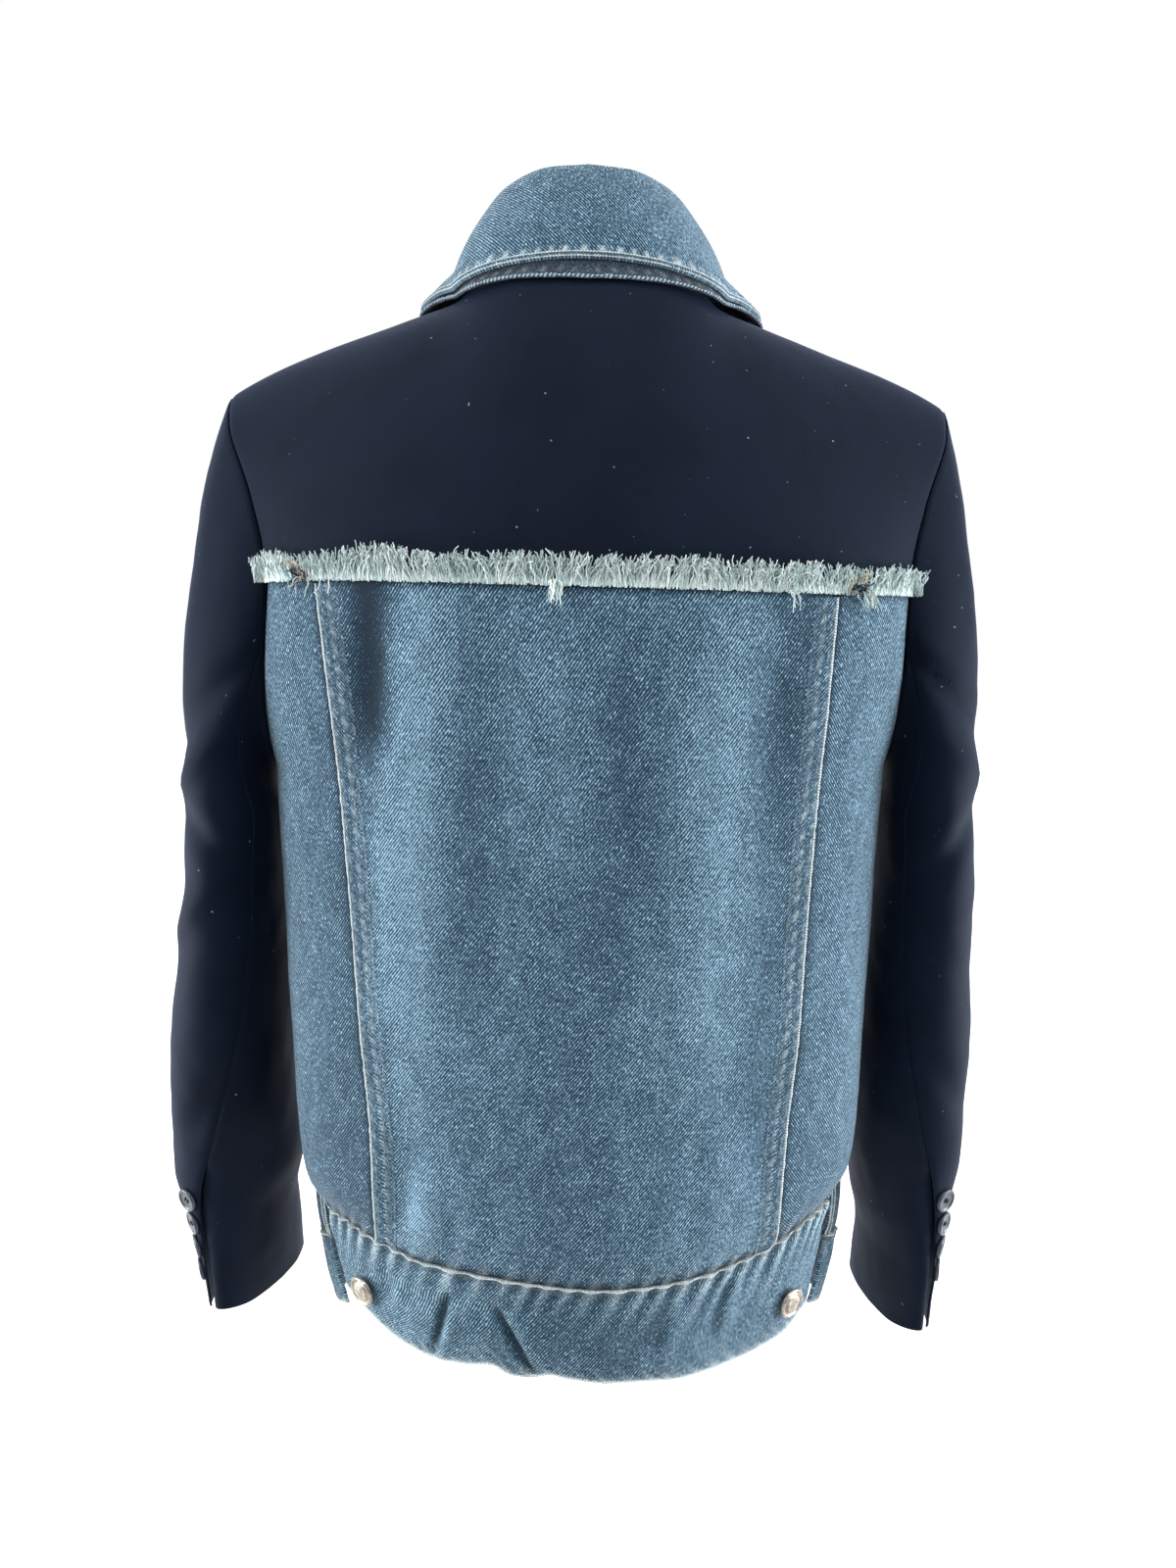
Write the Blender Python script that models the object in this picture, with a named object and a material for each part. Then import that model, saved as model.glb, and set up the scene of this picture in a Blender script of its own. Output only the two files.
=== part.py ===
# Worn jacket with a suiting upper back and sleeves and a denim collar, lower body and waistband.
# Metres, +Z up. The front faces -Y, the wearer's left is +X. The origin lies between the shoulders,
# level with the foot of the neck, where the wearer carries the garment.

import math

import bpy
import numpy as np
from mathutils import Vector

for leftover in list(bpy.data.objects):
    bpy.data.objects.remove(leftover, do_unlink=True)

# Cloth
SEAM_GAP = 0.0003
LAY_GAP = 0.0005
SUITING_THICK = 0.0012
DENIM_THICK = 0.0016
BAND_THICK = 0.0026
BAND_LIFT = 0.0005
COLLAR_THICK = 0.0024
UNDER_LEAF_THICK = 0.0016

# Heights of the body, down from the origin
FRINGE_LINE = -0.157
BACK_BAND_TOP = -0.540
BACK_HEM = -0.596
FRONT_BAND_TOP = -0.572
FRONT_HEM = -0.618
SLIT_TOP = -0.508
SLIT_BEND = -0.524
CAP_END = -0.290

# Armhole, a tall oval seen from the side
ARMHOLE_MIDDLE = FRINGE_LINE
ARMHOLE_RISE = 0.1070
ARMHOLE_DROP = 0.1045
ARMHOLE_BACK = 0.056
ARMHOLE_FRONT = 0.066
UNDERARM = ARMHOLE_MIDDLE - ARMHOLE_DROP

# Neck opening and shoulder line
NECK_HALF_WIDTH = 0.070
NECK_SIDE_Y = -0.006
NECK_SIDE_Z = 0.003
NECK_BACK_Y = 0.062
NECK_BACK_Z = 0.020
NECK_FRONT_Y = -0.088
NECK_FRONT_Z = -0.048
NECK_SHARE = 0.32
SHOULDER_STRAIGHT = 0.85

# How the yoke rounds over from the back to the shoulder
YOKE_LEAN = 0.95
YOKE_CLIMB = 1.35
NECK_CORNER_FADE = 2.0
BACK_GUIDE_BEND = 1.20

# Stance: the right shoulder hangs a little lower and the skirt sways to the wearer's left. The back
# hem rises towards the side slits.
SHOULDER_TILT = 0.0038
TILT_REACH = 0.14
HEM_RISE = 0.0105
HEM_RISE_START = -0.490
HEM_RISE_REACH = 0.134

# Front lap and its buttons
LAP = 0.015
LAP_LIFT = 0.0034
LAP_COLUMNS = (-LAP, 0.0, 1.25 * LAP, 2.4 * LAP)
FRONT_STEPS = 13
FRONT_BUTTON_HEIGHTS = (-0.075, -0.185, -0.295, -0.405, -0.515)

# Felled seams and the frayed strip
FELL_WIDTH = 0.014
FELL_THICK = 0.0011
FRINGE_STRIP_HEIGHT = 0.006
FRINGE_STRIP_THICK = 0.0014
FRINGE_STRIP_TOP = 0.0010
FRINGE_OVERHANG = 0.0035
FRINGE_LOCKS = 132
FRINGE_LENGTH = 0.0160
FRINGE_END_LEAN = 0.0022
# size, length in locks, phase
LEAN_WAVES = ((0.0024, 13.7, 0.4), (0.0012, 7.3, 2.1), (0.0015, 37.0, 1.2))
LENGTH_WAVES = ((0.0018, 17.0, 0.9), (0.0014, 5.3, 0.2), (0.0012, 41.0, 2.6))
# These locks hang down: how far
DROOPING_LOCKS = {22: 0.006, 24: 0.010, 40: 0.007, 70: 0.013, 71: 0.017, 72: 0.011, 96: 0.006}

# Buttons. On the back band they sit at this share of the quarter ring.
BAND_BUTTON_HEIGHT = -0.577
BAND_BUTTON_ACROSS = 0.572
TACK_RADIUS = 0.0095
TACK_HEIGHT = 0.0050
CUFF_BUTTON_RADIUS = 0.0078
CUFF_BUTTON_THICK = 0.0028
CUFF_BUTTON_PITCH = 0.0166
CUFF_BUTTON_FIRST = -0.541
CUFF_BUTTON_INSET = 17


class Table:
    # Rows of named columns, read at any place along the first column as one smooth curve
    def __init__(self, names, *rows):
        self.columns = dict(zip(names.split(), np.array(rows, float).T))
        self.along = self.columns[names.split()[0]]

    def __call__(self, name, place):
        places, values = self.along, self.columns[name]
        steps = np.diff(places)
        slopes = np.diff(values) / steps
        before, after = slopes[:-1], slopes[1:]
        level = before * after <= 0
        middle = np.where(level, 0, 2 * before * after / np.where(level, 1, before + after))
        tangents = np.concatenate([slopes[:1], middle, slopes[-1:]])
        place = np.clip(place, places[0], places[-1])
        row = np.clip(np.searchsorted(places, place) - 1, 0, len(steps) - 1)
        share = (place - places[row]) / steps[row]
        return (
            values[row] * (1 + 2 * share) * (1 - share) ** 2
            + values[row + 1] * share**2 * (3 - 2 * share)
            + tangents[row] * steps[row] * share * (1 - share) ** 2
            - tangents[row + 1] * steps[row] * share**2 * (1 - share)
        )


# Level rings of the body, hem upwards. Below the side slits the back is narrower than the front.
TORSO = Table(
    "height back_half front_half back_depth front_depth squareness sway",
    (-0.620, 0.150, 0.160, 0.117, 0.108, 2.0, 0.0065),
    (-0.596, 0.156, 0.166, 0.118, 0.110, 2.0, 0.0065),
    (-0.540, 0.168, 0.1740, 0.121, 0.114, 2.0, 0.0065),
    (SLIT_TOP, 0.1745, 0.1745, 0.121, 0.115, 2.05, 0.0065),
    (-0.430, 0.1780, 0.1780, 0.120, 0.116, 2.1, 0.0065),
    (-0.330, 0.1805, 0.1805, 0.120, 0.117, 2.15, 0.0055),
    (UNDERARM, 0.1825, 0.1825, 0.122, 0.118, 2.2, 0.0045),
    (-0.200, 0.1825, 0.1825, 0.123, 0.117, 2.3, 0.0020),
    (FRINGE_LINE, 0.1825, 0.1825, 0.121, 0.112, 2.35, 0.0),
)

# Armhole seam: angle round it from the shoulder point, back first, and how far out it lies
ARMHOLE = Table(
    "angle out",
    (0, 0.2090),
    (36, 0.2030),
    (65, 0.1876),
    (81, 0.1808),
    (90, 0.1790),
    (120, 0.1815),
    (150, 0.1825),
    (180, 0.1825),
    (210, 0.1815),
    (240, 0.1765),
    (270, 0.1710),
    (300, 0.1790),
    (330, 0.1990),
    (360, 0.2090),
)

# The two back seams: how far each lies from the middle
PRINCESS = Table(
    "height left right",
    (BACK_BAND_TOP, 0.1150, 0.1135),
    (-0.475, 0.1150, 0.1165),
    (-0.405, 0.1190, 0.1230),
    (-0.315, 0.1245, 0.1265),
    (-0.235, 0.1315, 0.1290),
    (FRINGE_LINE, 0.1440, 0.1305),
)

# Edges of the open side slits, as a share of the quarter ring. Past 1 the front reaches behind the side.
SLIT = Table(
    "height back front",
    (-0.620, 0.640, 1.060),
    (-0.596, 0.640, 1.055),
    (FRONT_BAND_TOP, 0.645, 1.045),
    (BACK_BAND_TOP, 0.660, 1.030),
    (SLIT_BEND, 0.840, 1.010),
    (SLIT_TOP, 1.0, 1.0),
)

# Sleeves: sections down the arm. skew turns the back of the section outwards, as the arm hangs.
LEFT_SLEEVE = Table(
    "height out forward half_width half_depth skew",
    (-0.616, 0.2175, -0.030, 0.0190, 0.0490, 0.0115),
    (-0.590, 0.2195, -0.029, 0.0220, 0.0490, 0.0115),
    (-0.560, 0.2225, -0.027, 0.0265, 0.0490, 0.0105),
    (-0.525, 0.2250, -0.025, 0.0365, 0.0500, 0.0090),
    (-0.465, 0.2235, -0.019, 0.0360, 0.0530, 0.0070),
    (-0.405, 0.2190, -0.013, 0.0325, 0.0550, 0.0045),
    (-0.338, 0.2140, -0.007, 0.0280, 0.0590, 0.0015),
    (CAP_END, 0.2120, -0.004, 0.0270, 0.0620, 0.0),
)
RIGHT_SLEEVE = Table(
    "height out forward half_width half_depth skew",
    (-0.631, 0.2105, -0.030, 0.0165, 0.0490, 0.0095),
    (-0.590, 0.2135, -0.029, 0.0170, 0.0490, 0.0095),
    (-0.560, 0.2140, -0.027, 0.0235, 0.0490, 0.0090),
    (-0.510, 0.2150, -0.023, 0.0315, 0.0505, 0.0075),
    (-0.440, 0.2145, -0.016, 0.0320, 0.0540, 0.0055),
    (-0.390, 0.2145, -0.011, 0.0305, 0.0560, 0.0035),
    (-0.338, 0.2140, -0.007, 0.0280, 0.0590, 0.0015),
    (CAP_END, 0.2115, -0.004, 0.0265, 0.0620, 0.0),
)

# Where the sleeve seams run, as angles round the sleeve: 0 outside, 90 back, 180 inside, 270 front.
# down is 0 at the armhole, 1 at the end of the sleeve cap and 2 at the cuff.
SLEEVE_SEAMS = Table(
    "down back front",
    (0.00, 108, 252),
    (0.50, 126, 242),
    (1.00, 140, 236),
    (1.14, 140, 236),
    (1.34, 130, 236),
    (1.52, 112, 236),
    (1.69, 93, 236),
    (1.80, 80, 236),
    (2.00, 62, 236),
)

# Direction in which the sleeve leaves the armhole
SLEEVE_START = Table(
    "angle left_out right_out back up",
    (0, 0.36, 0.20, 0.0, -0.80),
    (90, 0.38, 0.24, 0.10, -0.85),
    (140, 0.70, 0.65, 0.05, -0.60),
    (180, 0.95, 0.95, 0.0, -0.25),
    (220, 0.70, 0.65, -0.05, -0.60),
    (270, 0.42, 0.36, -0.10, -0.85),
    (360, 0.36, 0.20, 0.0, -0.80),
)

# Collar: turn round the neck from the middle of the back, then the top of the fold. The leaf's edge
# is given over the yokes: how far across, how far over the shoulder (1 is the shoulder line, past it
# the front yoke) and how high it stands off. reach is how far the under leaf runs on, part how far
# it hangs from the leaf.
COLLAR = Table(
    "turn fold_x fold_y fold_z across over lift reach part",
    (0, 0.000, 0.055, 0.0640, 0.0, 0.770, 0.0062, 1.27, 0.0003),
    (20, 0.0210, 0.052, 0.0630, 0.064, 0.779, 0.0062, 1.26, 0.0003),
    (40, 0.0410, 0.043, 0.0575, 0.140, 0.791, 0.0066, 1.22, 0.0004),
    (62, 0.0570, 0.025, 0.0465, 0.256, 0.818, 0.0078, 1.18, 0.0006),
    (76, 0.0632, 0.010, 0.0390, 0.370, 0.905, 0.0095, 1.13, 0.0014),
    (90, 0.0660, -0.008, 0.0300, 0.448, 1.060, 0.0105, 1.08, 0.0020),
    (120, 0.0590, -0.050, 0.0050, 0.450, 1.310, 0.0100, 1.05, 0.0012),
    (145, 0.0380, -0.078, -0.0160, 0.370, 1.540, 0.0080, 1.03, 0.0004),
    (165, 0.0140, -0.088, -0.0260, 0.190, 1.580, 0.0070, 1.02, 0.0003),
)
LEAF_ROWS = np.array([0, 0.12, 0.34, 0.6, 0.82, 1.0])
COLLAR_END = 165
STAND_GAP = 0.0004
COLLAR_MIDDLE_Y = -0.008
LEAF_SPRING = 0.002
FACING_REACH = 5

# From this turn on the leaf leaves the yoke's own lines and falls straight from fold to edge
FRONT_TURN = 78
FRONT_TURN_REACH = 24
FRONT_SPRING = 1.7

# Body folds: place across, top, bottom, lean towards +X going down, half width, depth, + is a ridge
BACK_FOLDS = (
    (0.112, -0.160, -0.250, -0.004, 0.011, -0.0042),
    (0.086, -0.160, -0.420, 0.010, 0.020, 0.0030),
    (0.052, -0.170, -0.400, 0.008, 0.018, -0.0022),
    (0.012, -0.160, -0.330, -0.006, 0.020, 0.0020),
    (-0.030, -0.162, -0.380, 0.006, 0.018, -0.0025),
    (-0.070, -0.160, -0.450, 0.010, 0.020, 0.0026),
    (-0.104, -0.160, -0.300, 0.004, 0.013, -0.0028),
    (0.078, -0.470, -0.545, 0.014, 0.010, 0.0032),
    (0.098, -0.440, -0.545, 0.004, 0.012, -0.0030),
    (-0.085, -0.455, -0.545, -0.008, 0.014, 0.0024),
)
FRONT_FOLDS = (
    (0.110, -0.160, -0.300, 0.010, 0.016, -0.0030),
    (0.070, -0.240, -0.480, -0.012, 0.020, 0.0026),
    (-0.112, -0.160, -0.320, -0.008, 0.016, -0.0030),
    (-0.072, -0.220, -0.470, 0.014, 0.022, 0.0026),
)

# Sleeve folds: angle, height, tilt in metres of height per degree, half angle, half height, depth
LEFT_SLEEVE_FOLDS = (
    (70, -0.225, 0.0006, 46, 0.011, -0.0030),
    (60, -0.262, 0.0005, 40, 0.010, 0.0026),
    (82, -0.300, -0.0004, 44, 0.012, -0.0032),
    (52, -0.352, 0.0005, 38, 0.013, 0.0022),
    (280, -0.330, 0.0006, 42, 0.012, -0.0032),
    (290, -0.372, -0.0005, 40, 0.012, -0.0026),
    (100, -0.470, 0.0007, 42, 0.018, -0.0022),
)
RIGHT_SLEEVE_FOLDS = (
    (74, -0.215, 0.0006, 44, 0.011, -0.0030),
    (58, -0.258, 0.0004, 40, 0.011, 0.0024),
    (80, -0.305, -0.0005, 42, 0.012, -0.0030),
    (278, -0.325, 0.0006, 42, 0.012, -0.0032),
    (288, -0.370, -0.0005, 40, 0.012, -0.0024),
    (96, -0.445, 0.0006, 42, 0.018, -0.0020),
)


# Materials
def finish(name, colour, roughness, metallic=0.0):
    material = bpy.data.materials.new(name)
    material.use_nodes = True
    shader = material.node_tree.nodes["Principled BSDF"]
    shader.inputs["Base Color"].default_value = (*colour, 1)
    shader.inputs["Roughness"].default_value = roughness
    shader.inputs["Metallic"].default_value = metallic
    material.diffuse_color = (*colour, 1)
    return material


SUITING = finish("navy_suiting", (0.010, 0.016, 0.030), 0.75)
DENIM = finish("washed_denim", (0.085, 0.185, 0.300), 0.85)
DARK_DENIM = finish("dark_denim", (0.030, 0.062, 0.110), 0.85)
FRAY = finish("frayed_thread", (0.420, 0.560, 0.560), 0.90)
SILVER = finish("brushed_silver", (0.620, 0.590, 0.540), 0.35, 1.0)
HORN = finish("navy_button", (0.030, 0.038, 0.052), 0.45)


# Small helpers for curves
def power(value, exponent):
    return np.sign(value) * np.abs(value) ** exponent


def unit(vectors):
    return vectors / np.maximum(np.linalg.norm(vectors, axis=-1, keepdims=True), 1e-12)


def ease(value):
    share = np.clip(value, 0, 1)
    return share * share * (3 - 2 * share)


def point(x, y, z):
    return np.stack(np.broadcast_arrays(x, y, z), axis=-1).astype(float)


# The stance moves every point of the garment alike, so seams stay closed
def stand(points):
    moved = np.array(points, float)
    height = moved[..., 2].copy()
    tilt = ease((height - UNDERARM) / (FRINGE_LINE - UNDERARM))
    moved[..., 0] += TORSO("sway", height)
    moved[..., 2] += SHOULDER_TILT * np.clip(points[..., 0] / TILT_REACH, -1, 1) * tilt
    low = ease((HEM_RISE_START - height) / 0.05) * ease(points[..., 1] / 0.06)
    reach = np.clip(np.abs(points[..., 0]) / HEM_RISE_REACH, 0, 1)
    moved[..., 2] += HEM_RISE * low * reach**4
    return moved


# Body surface
def armhole(angle):
    turn = np.radians(angle)
    reach = np.where(np.sin(turn) > 0, ARMHOLE_BACK, ARMHOLE_FRONT)
    tall = np.where(np.cos(turn) > 0, ARMHOLE_RISE, ARMHOLE_DROP)
    return point(
        ARMHOLE("out", angle), reach * np.sin(turn), ARMHOLE_MIDDLE + tall * np.cos(turn)
    )


def ring_shape(face, height):
    depth = TORSO("back_depth" if face > 0 else "front_depth", height)
    half = TORSO("back_half" if face > 0 else "front_half", height)
    square = TORSO("squareness", height)
    angle = np.degrees(np.arccos(np.clip((height - ARMHOLE_MIDDLE) / ARMHOLE_DROP, -1, 1)))
    edge = armhole(angle if face > 0 else 360 - angle)
    above = height > UNDERARM
    stop = np.arccos(np.clip(np.abs(edge[..., 1]) / depth, 0, 1) ** (square / 2))
    stop = np.where(above, stop, math.pi / 2)
    wide = np.where(above, edge[..., 0] / np.sin(stop) ** (2 / square), half)
    return wide, depth, square, stop


# across is 0 in the middle and 1 at the side seam or armhole, and its sign gives the side
def ring(face, across, height):
    wide, depth, square, stop = ring_shape(face, height)
    turn = stop * across
    x = wide * power(np.sin(turn), 2 / square)
    y = face * depth * power(np.cos(turn), 2 / square)
    return point(x, y, height)


def across_at(face, x, height):
    wide, depth, square, stop = ring_shape(face, height)
    return np.sign(x) * np.arcsin(np.clip(np.abs(x) / wide, 0, 1) ** (square / 2)) / stop


def normals(surface, across, down, step=2e-4):
    one = surface(across + step, down) - surface(across - step, down)
    other = surface(across, down + step) - surface(across, down - step)
    return unit(np.cross(one, other))


def outward(face, vectors):
    return np.where(vectors[..., 1:2] * face < 0, -vectors, vectors)


# The direction away from the middle of the body, also where a front reaches behind the side
def ring_facing(face, across, height):
    spot = ring(face, across, height)
    facing = normals(lambda u, v: ring(face, u, v), across, height)
    inward = facing[..., 0] * spot[..., 0] + facing[..., 1] * spot[..., 1] < 0
    return np.where(inward[..., None], -facing, facing)


def fold_height(folds, x, height):
    total = np.zeros(np.broadcast(x, height).shape)
    for place, top, bottom, lean, half_width, depth in folds:
        along = np.clip((top - height) / (top - bottom), 0, 1)
        inside = (height <= top) & (height >= bottom)
        offset = (x - place - lean * along) / half_width
        total = total + depth * np.exp(-offset**2) * np.sin(math.pi * along) ** 0.7 * inside
    return total


# Height of the folds on the body, also on bands and strips, so that they follow the panels
def body_relief(face, across, height):
    folds = BACK_FOLDS if face > 0 else FRONT_FOLDS
    return fold_height(folds, ring(face, across, height)[..., 0], height)


def body(face, across, height, lift=0.0):
    facing = ring_facing(face, across, height)
    rise = lift + body_relief(face, across, height)
    return ring(face, across, height) + facing * np.asarray(rise)[..., None]


# The shoulder falls evenly from the neck and rounds off at its point
def shoulder_fall(along):
    return SHOULDER_STRAIGHT * along + (1 - SHOULDER_STRAIGHT) * along**6


# Top edge of a yoke: the neckline up to NECK_SHARE, then the shoulder line
def yoke_top(face, across):
    share = np.abs(across)
    turn = math.pi / 2 * np.clip(share / NECK_SHARE, 0, 1)
    neck_y, neck_z = (NECK_BACK_Y, NECK_BACK_Z) if face > 0 else (NECK_FRONT_Y, NECK_FRONT_Z)
    slope = np.cos(turn) if face > 0 else np.cos(turn) ** 1.3
    neck = point(
        NECK_HALF_WIDTH * np.sin(turn),
        NECK_SIDE_Y + (neck_y - NECK_SIDE_Y) * np.cos(turn),
        NECK_SIDE_Z + (neck_z - NECK_SIDE_Z) * slope,
    )
    along = np.clip((share - NECK_SHARE) / (1 - NECK_SHARE), 0, 1)
    tip = armhole(np.array(0.0))
    shoulder = point(
        NECK_HALF_WIDTH + (tip[0] - NECK_HALF_WIDTH) * along,
        NECK_SIDE_Y * (1 - along),
        NECK_SIDE_Z + (tip[2] - NECK_SIDE_Z) * shoulder_fall(along),
    )
    top = np.where((share < NECK_SHARE)[..., None], neck, shoulder)
    top[..., 0] *= np.sign(across) + (across == 0)
    return top


# An even line from the middle of the back neck to the shoulder point. Lower down the back heads for
# this line, so that the corner of the neck leaves no ridge.
def back_guide(across):
    tip = armhole(np.array(0.0))
    out = np.abs(across)
    return point(
        tip[0] * across,
        NECK_BACK_Y * (1 - out**2) ** 3,
        NECK_BACK_Z + (tip[2] - NECK_BACK_Z) * out**BACK_GUIDE_BEND,
    )


# climb runs from 0 on the fringe line to 1 on the shoulder
def yoke(face, across, climb):
    across, climb = np.broadcast_arrays(np.asarray(across, float), np.asarray(climb, float))
    climb = np.clip(climb, 0, 1)
    foot = ring(face, across, FRINGE_LINE)
    top = yoke_top(face, across)
    if face > 0:
        top = top + (back_guide(across) - top) * (1 - climb[..., None] ** NECK_CORNER_FADE)
    turn = math.pi / 2 * climb
    loop = 90 - 90 * climb if face > 0 else 270 + 90 * climb
    start = ARMHOLE("out", 90 if face > 0 else 270)
    end = ARMHOLE("out", 0)
    spread = (ARMHOLE("out", loop) - start) / (end - start)
    edge = np.abs(across) ** 3
    lean = YOKE_LEAN + (1 - YOKE_LEAN) * edge
    rise = YOKE_CLIMB + (1 - YOKE_CLIMB) * edge
    x = foot[..., 0] + (top[..., 0] - foot[..., 0]) * spread
    y = top[..., 1] + (foot[..., 1] - top[..., 1]) * np.cos(turn).clip(0) ** lean
    z = foot[..., 2] + (top[..., 2] - foot[..., 2]) * np.sin(turn) ** rise
    return point(x, y, z)


# Sleeve surface
def sleeve_section(table, angle, height):
    turn = np.radians(angle)
    return point(
        table("out", height)
        + table("half_width", height) * np.cos(turn)
        + table("skew", height) * np.sin(turn),
        table("forward", height) + table("half_depth", height) * np.sin(turn),
        height,
    )


# down runs from 0 to 1 over the sleeve cap and from 1 to 2 on to the cuff
def sleeve(name, angle, down):
    table, folds = SLEEVES[name]
    angle, down = np.broadcast_arrays(np.asarray(angle, float), np.asarray(down, float))
    angle = np.mod(angle, 360)
    cuff = table.along[0]
    head = armhole(angle) + point(SEAM_GAP, 0, 0)
    foot = sleeve_section(table, angle, np.full(angle.shape, CAP_END))
    reach = np.linalg.norm(foot - head, axis=-1, keepdims=True)
    leave = unit(
        point(
            SLEEVE_START(f"{name}_out", angle),
            SLEEVE_START("back", angle),
            SLEEVE_START("up", angle),
        )
    )
    arrive = point(0, 0, -1) + 0 * head
    share = np.clip(down, 0, 1)[..., None]
    cap = (
        head * (1 + 2 * share) * (1 - share) ** 2
        + foot * share**2 * (3 - 2 * share)
        + leave * reach * share * (1 - share) ** 2
        - arrive * reach * share**2 * (1 - share)
    )
    height = CAP_END + (cuff - CAP_END) * np.clip(down - 1, 0, 1)
    arm = sleeve_section(table, angle, height)
    plain = np.where((down < 1)[..., None], cap, arm)
    centre = point(table("out", plain[..., 2]), table("forward", plain[..., 2]), plain[..., 2])
    facing = unit(plain - centre)
    relief = np.zeros(angle.shape)
    for place, level, tilt, half_angle, half_height, depth in folds:
        turn = (angle - place + 180) % 360 - 180
        rise = (plain[..., 2] - level - tilt * turn) / half_height
        relief = relief + depth * np.exp(-((turn / half_angle) ** 2) - rise**2)
    return plain + facing * relief[..., None]


SLEEVES = {"left": (LEFT_SLEEVE, LEFT_SLEEVE_FOLDS), "right": (RIGHT_SLEEVE, RIGHT_SLEEVE_FOLDS)}


# Solids
def add_mesh(name, vertices, faces, material, smooth=True):
    mesh = bpy.data.meshes.new(name)
    mesh.from_pydata([tuple(v) for v in vertices], [], faces)
    mesh.materials.append(material)
    mesh.update()
    if smooth:
        mesh.shade_smooth()
    item = bpy.data.objects.new(name, mesh)
    bpy.context.scene.collection.objects.link(item)
    return item


def enclosed(vertices, faces):
    corners = [[vertices[i] for i in face] for face in faces]
    total = 0.0
    for face in corners:
        for second, third in zip(face[1:], face[2:]):
            total += np.dot(face[0], np.cross(second, third))
    return total


def inset_edges(skin, other):
    # Each edge gives way by half a seam gap, both skins alike
    for rows, back in ((0, 1), (-1, -2)):
        step = unit(skin[back] - skin[rows]) * SEAM_GAP / 2
        skin[rows] += step
        other[rows] += step
    for columns, back in ((0, 1), (-1, -2)):
        step = unit(skin[:, back] - skin[:, columns]) * SEAM_GAP / 2
        skin[:, columns] += step
        other[:, columns] += step


# A closed wall over a grid of outer points, thick towards the inside
def cloth(name, outer, facing, thickness, material):
    outer = np.array(outer, float)
    inner = outer - facing * thickness
    inset_edges(outer, inner)
    rows, columns = outer.shape[:2]
    vertices = np.concatenate([stand(outer).reshape(-1, 3), stand(inner).reshape(-1, 3)])
    count = rows * columns
    faces = []
    for i in range(rows - 1):
        for j in range(columns - 1):
            a, b = i * columns + j, (i + 1) * columns + j
            # both skins are divided along the same diagonal, so they stay a wall apart
            for corners in ((a, a + 1, b + 1), (a, b + 1, b)):
                faces.append(corners)
                faces.append(tuple(corner + count for corner in corners[::-1]))
    rim = [(0, j) for j in range(columns)]
    rim += [(i, columns - 1) for i in range(1, rows)]
    rim += [(rows - 1, j) for j in range(columns - 2, -1, -1)]
    rim += [(i, 0) for i in range(rows - 2, 0, -1)]
    for (i, j), (k, m) in zip(rim, rim[1:] + rim[:1]):
        a, b = i * columns + j, k * columns + m
        if a < b:
            faces += [(b, a, b + count), (a, a + count, b + count)]
        else:
            faces += [(b, a, a + count), (b, a + count, b + count)]
    if enclosed(vertices, faces) < 0:
        faces = [face[::-1] for face in faces]
    return add_mesh(name, vertices, faces, material)


def grid(across, down):
    return np.meshgrid(across, down)


# A panel of the body between two edges, which are functions of the height
def body_panel(name, face, first, last, heights, columns, thickness, material, lift=0.0):
    share, height = grid(np.linspace(0, 1, columns + 1), heights)
    across = first(height) + (last(height) - first(height)) * share
    outer = body(face, across, height, lift)
    return cloth(name, outer, ring_facing(face, across, height), thickness, material)


def spaced(start, end, steps):
    return np.linspace(start, end, steps + 1)


# The armhole is divided alike on the body and the sleeve, so that their facets meet
UPPER_ANGLES = spaced(0, 90, 6)
LOWER_ANGLES = spaced(90, 180, 5)
CLIMBS = 1 - UPPER_ANGLES[::-1] / 90
ARMHOLE_ROWS = ARMHOLE_MIDDLE + ARMHOLE_DROP * np.cos(np.radians(LOWER_ANGLES))
BACK_ROWS = np.concatenate(
    [ARMHOLE_ROWS, spaced(UNDERARM, SLIT_TOP, 7)[1:], [SLIT_BEND, BACK_BAND_TOP]]
)
FRONT_ROWS = np.concatenate(
    [ARMHOLE_ROWS, spaced(UNDERARM, SLIT_TOP, 6)[1:], spaced(SLIT_TOP, FRONT_BAND_TOP, 2)[1:]]
)
SIDES = (("left", 1), ("right", -1))


def princess_edge(side_name, side, inward=0.0):
    def edge(height):
        return across_at(1, side * (PRINCESS(side_name, height) - inward), height)

    return edge


def side_edge(face, side):
    column = "back" if face > 0 else "front"
    return lambda height: side * SLIT(column, height)


# Back of the body
def build_back():
    left, right = princess_edge("left", 1), princess_edge("right", -1)
    body_panel("back_panel_centre", 1, right, left, BACK_ROWS, 20, DENIM_THICK, DENIM)
    for name, side in SIDES:
        seam = princess_edge(name, side)
        side_columns = 6
        body_panel(
            f"back_panel_{name}", 1, seam, side_edge(1, side), BACK_ROWS, side_columns,
            DENIM_THICK, DENIM,
        )
        fell_rows = np.concatenate([[FRINGE_LINE - FRINGE_STRIP_HEIGHT], BACK_ROWS[1:]])
        body_panel(
            f"felled_seam_{name}", 1, seam, princess_edge(name, side, FELL_WIDTH), fell_rows, 2,
            FELL_THICK, DENIM, LAY_GAP * 1.4 + FELL_THICK,
        )
    rows = spaced(BACK_BAND_TOP, BACK_HEM, 3)
    body_panel(
        "back_band", 1, side_edge(1, -1), side_edge(1, 1), rows, 34, BAND_THICK, DENIM, BAND_LIFT
    )


# Columns of a front, from the lap's edge to the side
def front_columns(side, heights, last):
    near = [across_at(-1, np.full(heights.shape, side * place), heights) for place in LAP_COLUMNS]
    steps = FRONT_STEPS + 1 - len(near)
    far = [near[-1] + (last - near[-1]) * k / steps for k in range(1, steps + 1)]
    return np.stack(near + far, axis=1)


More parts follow.
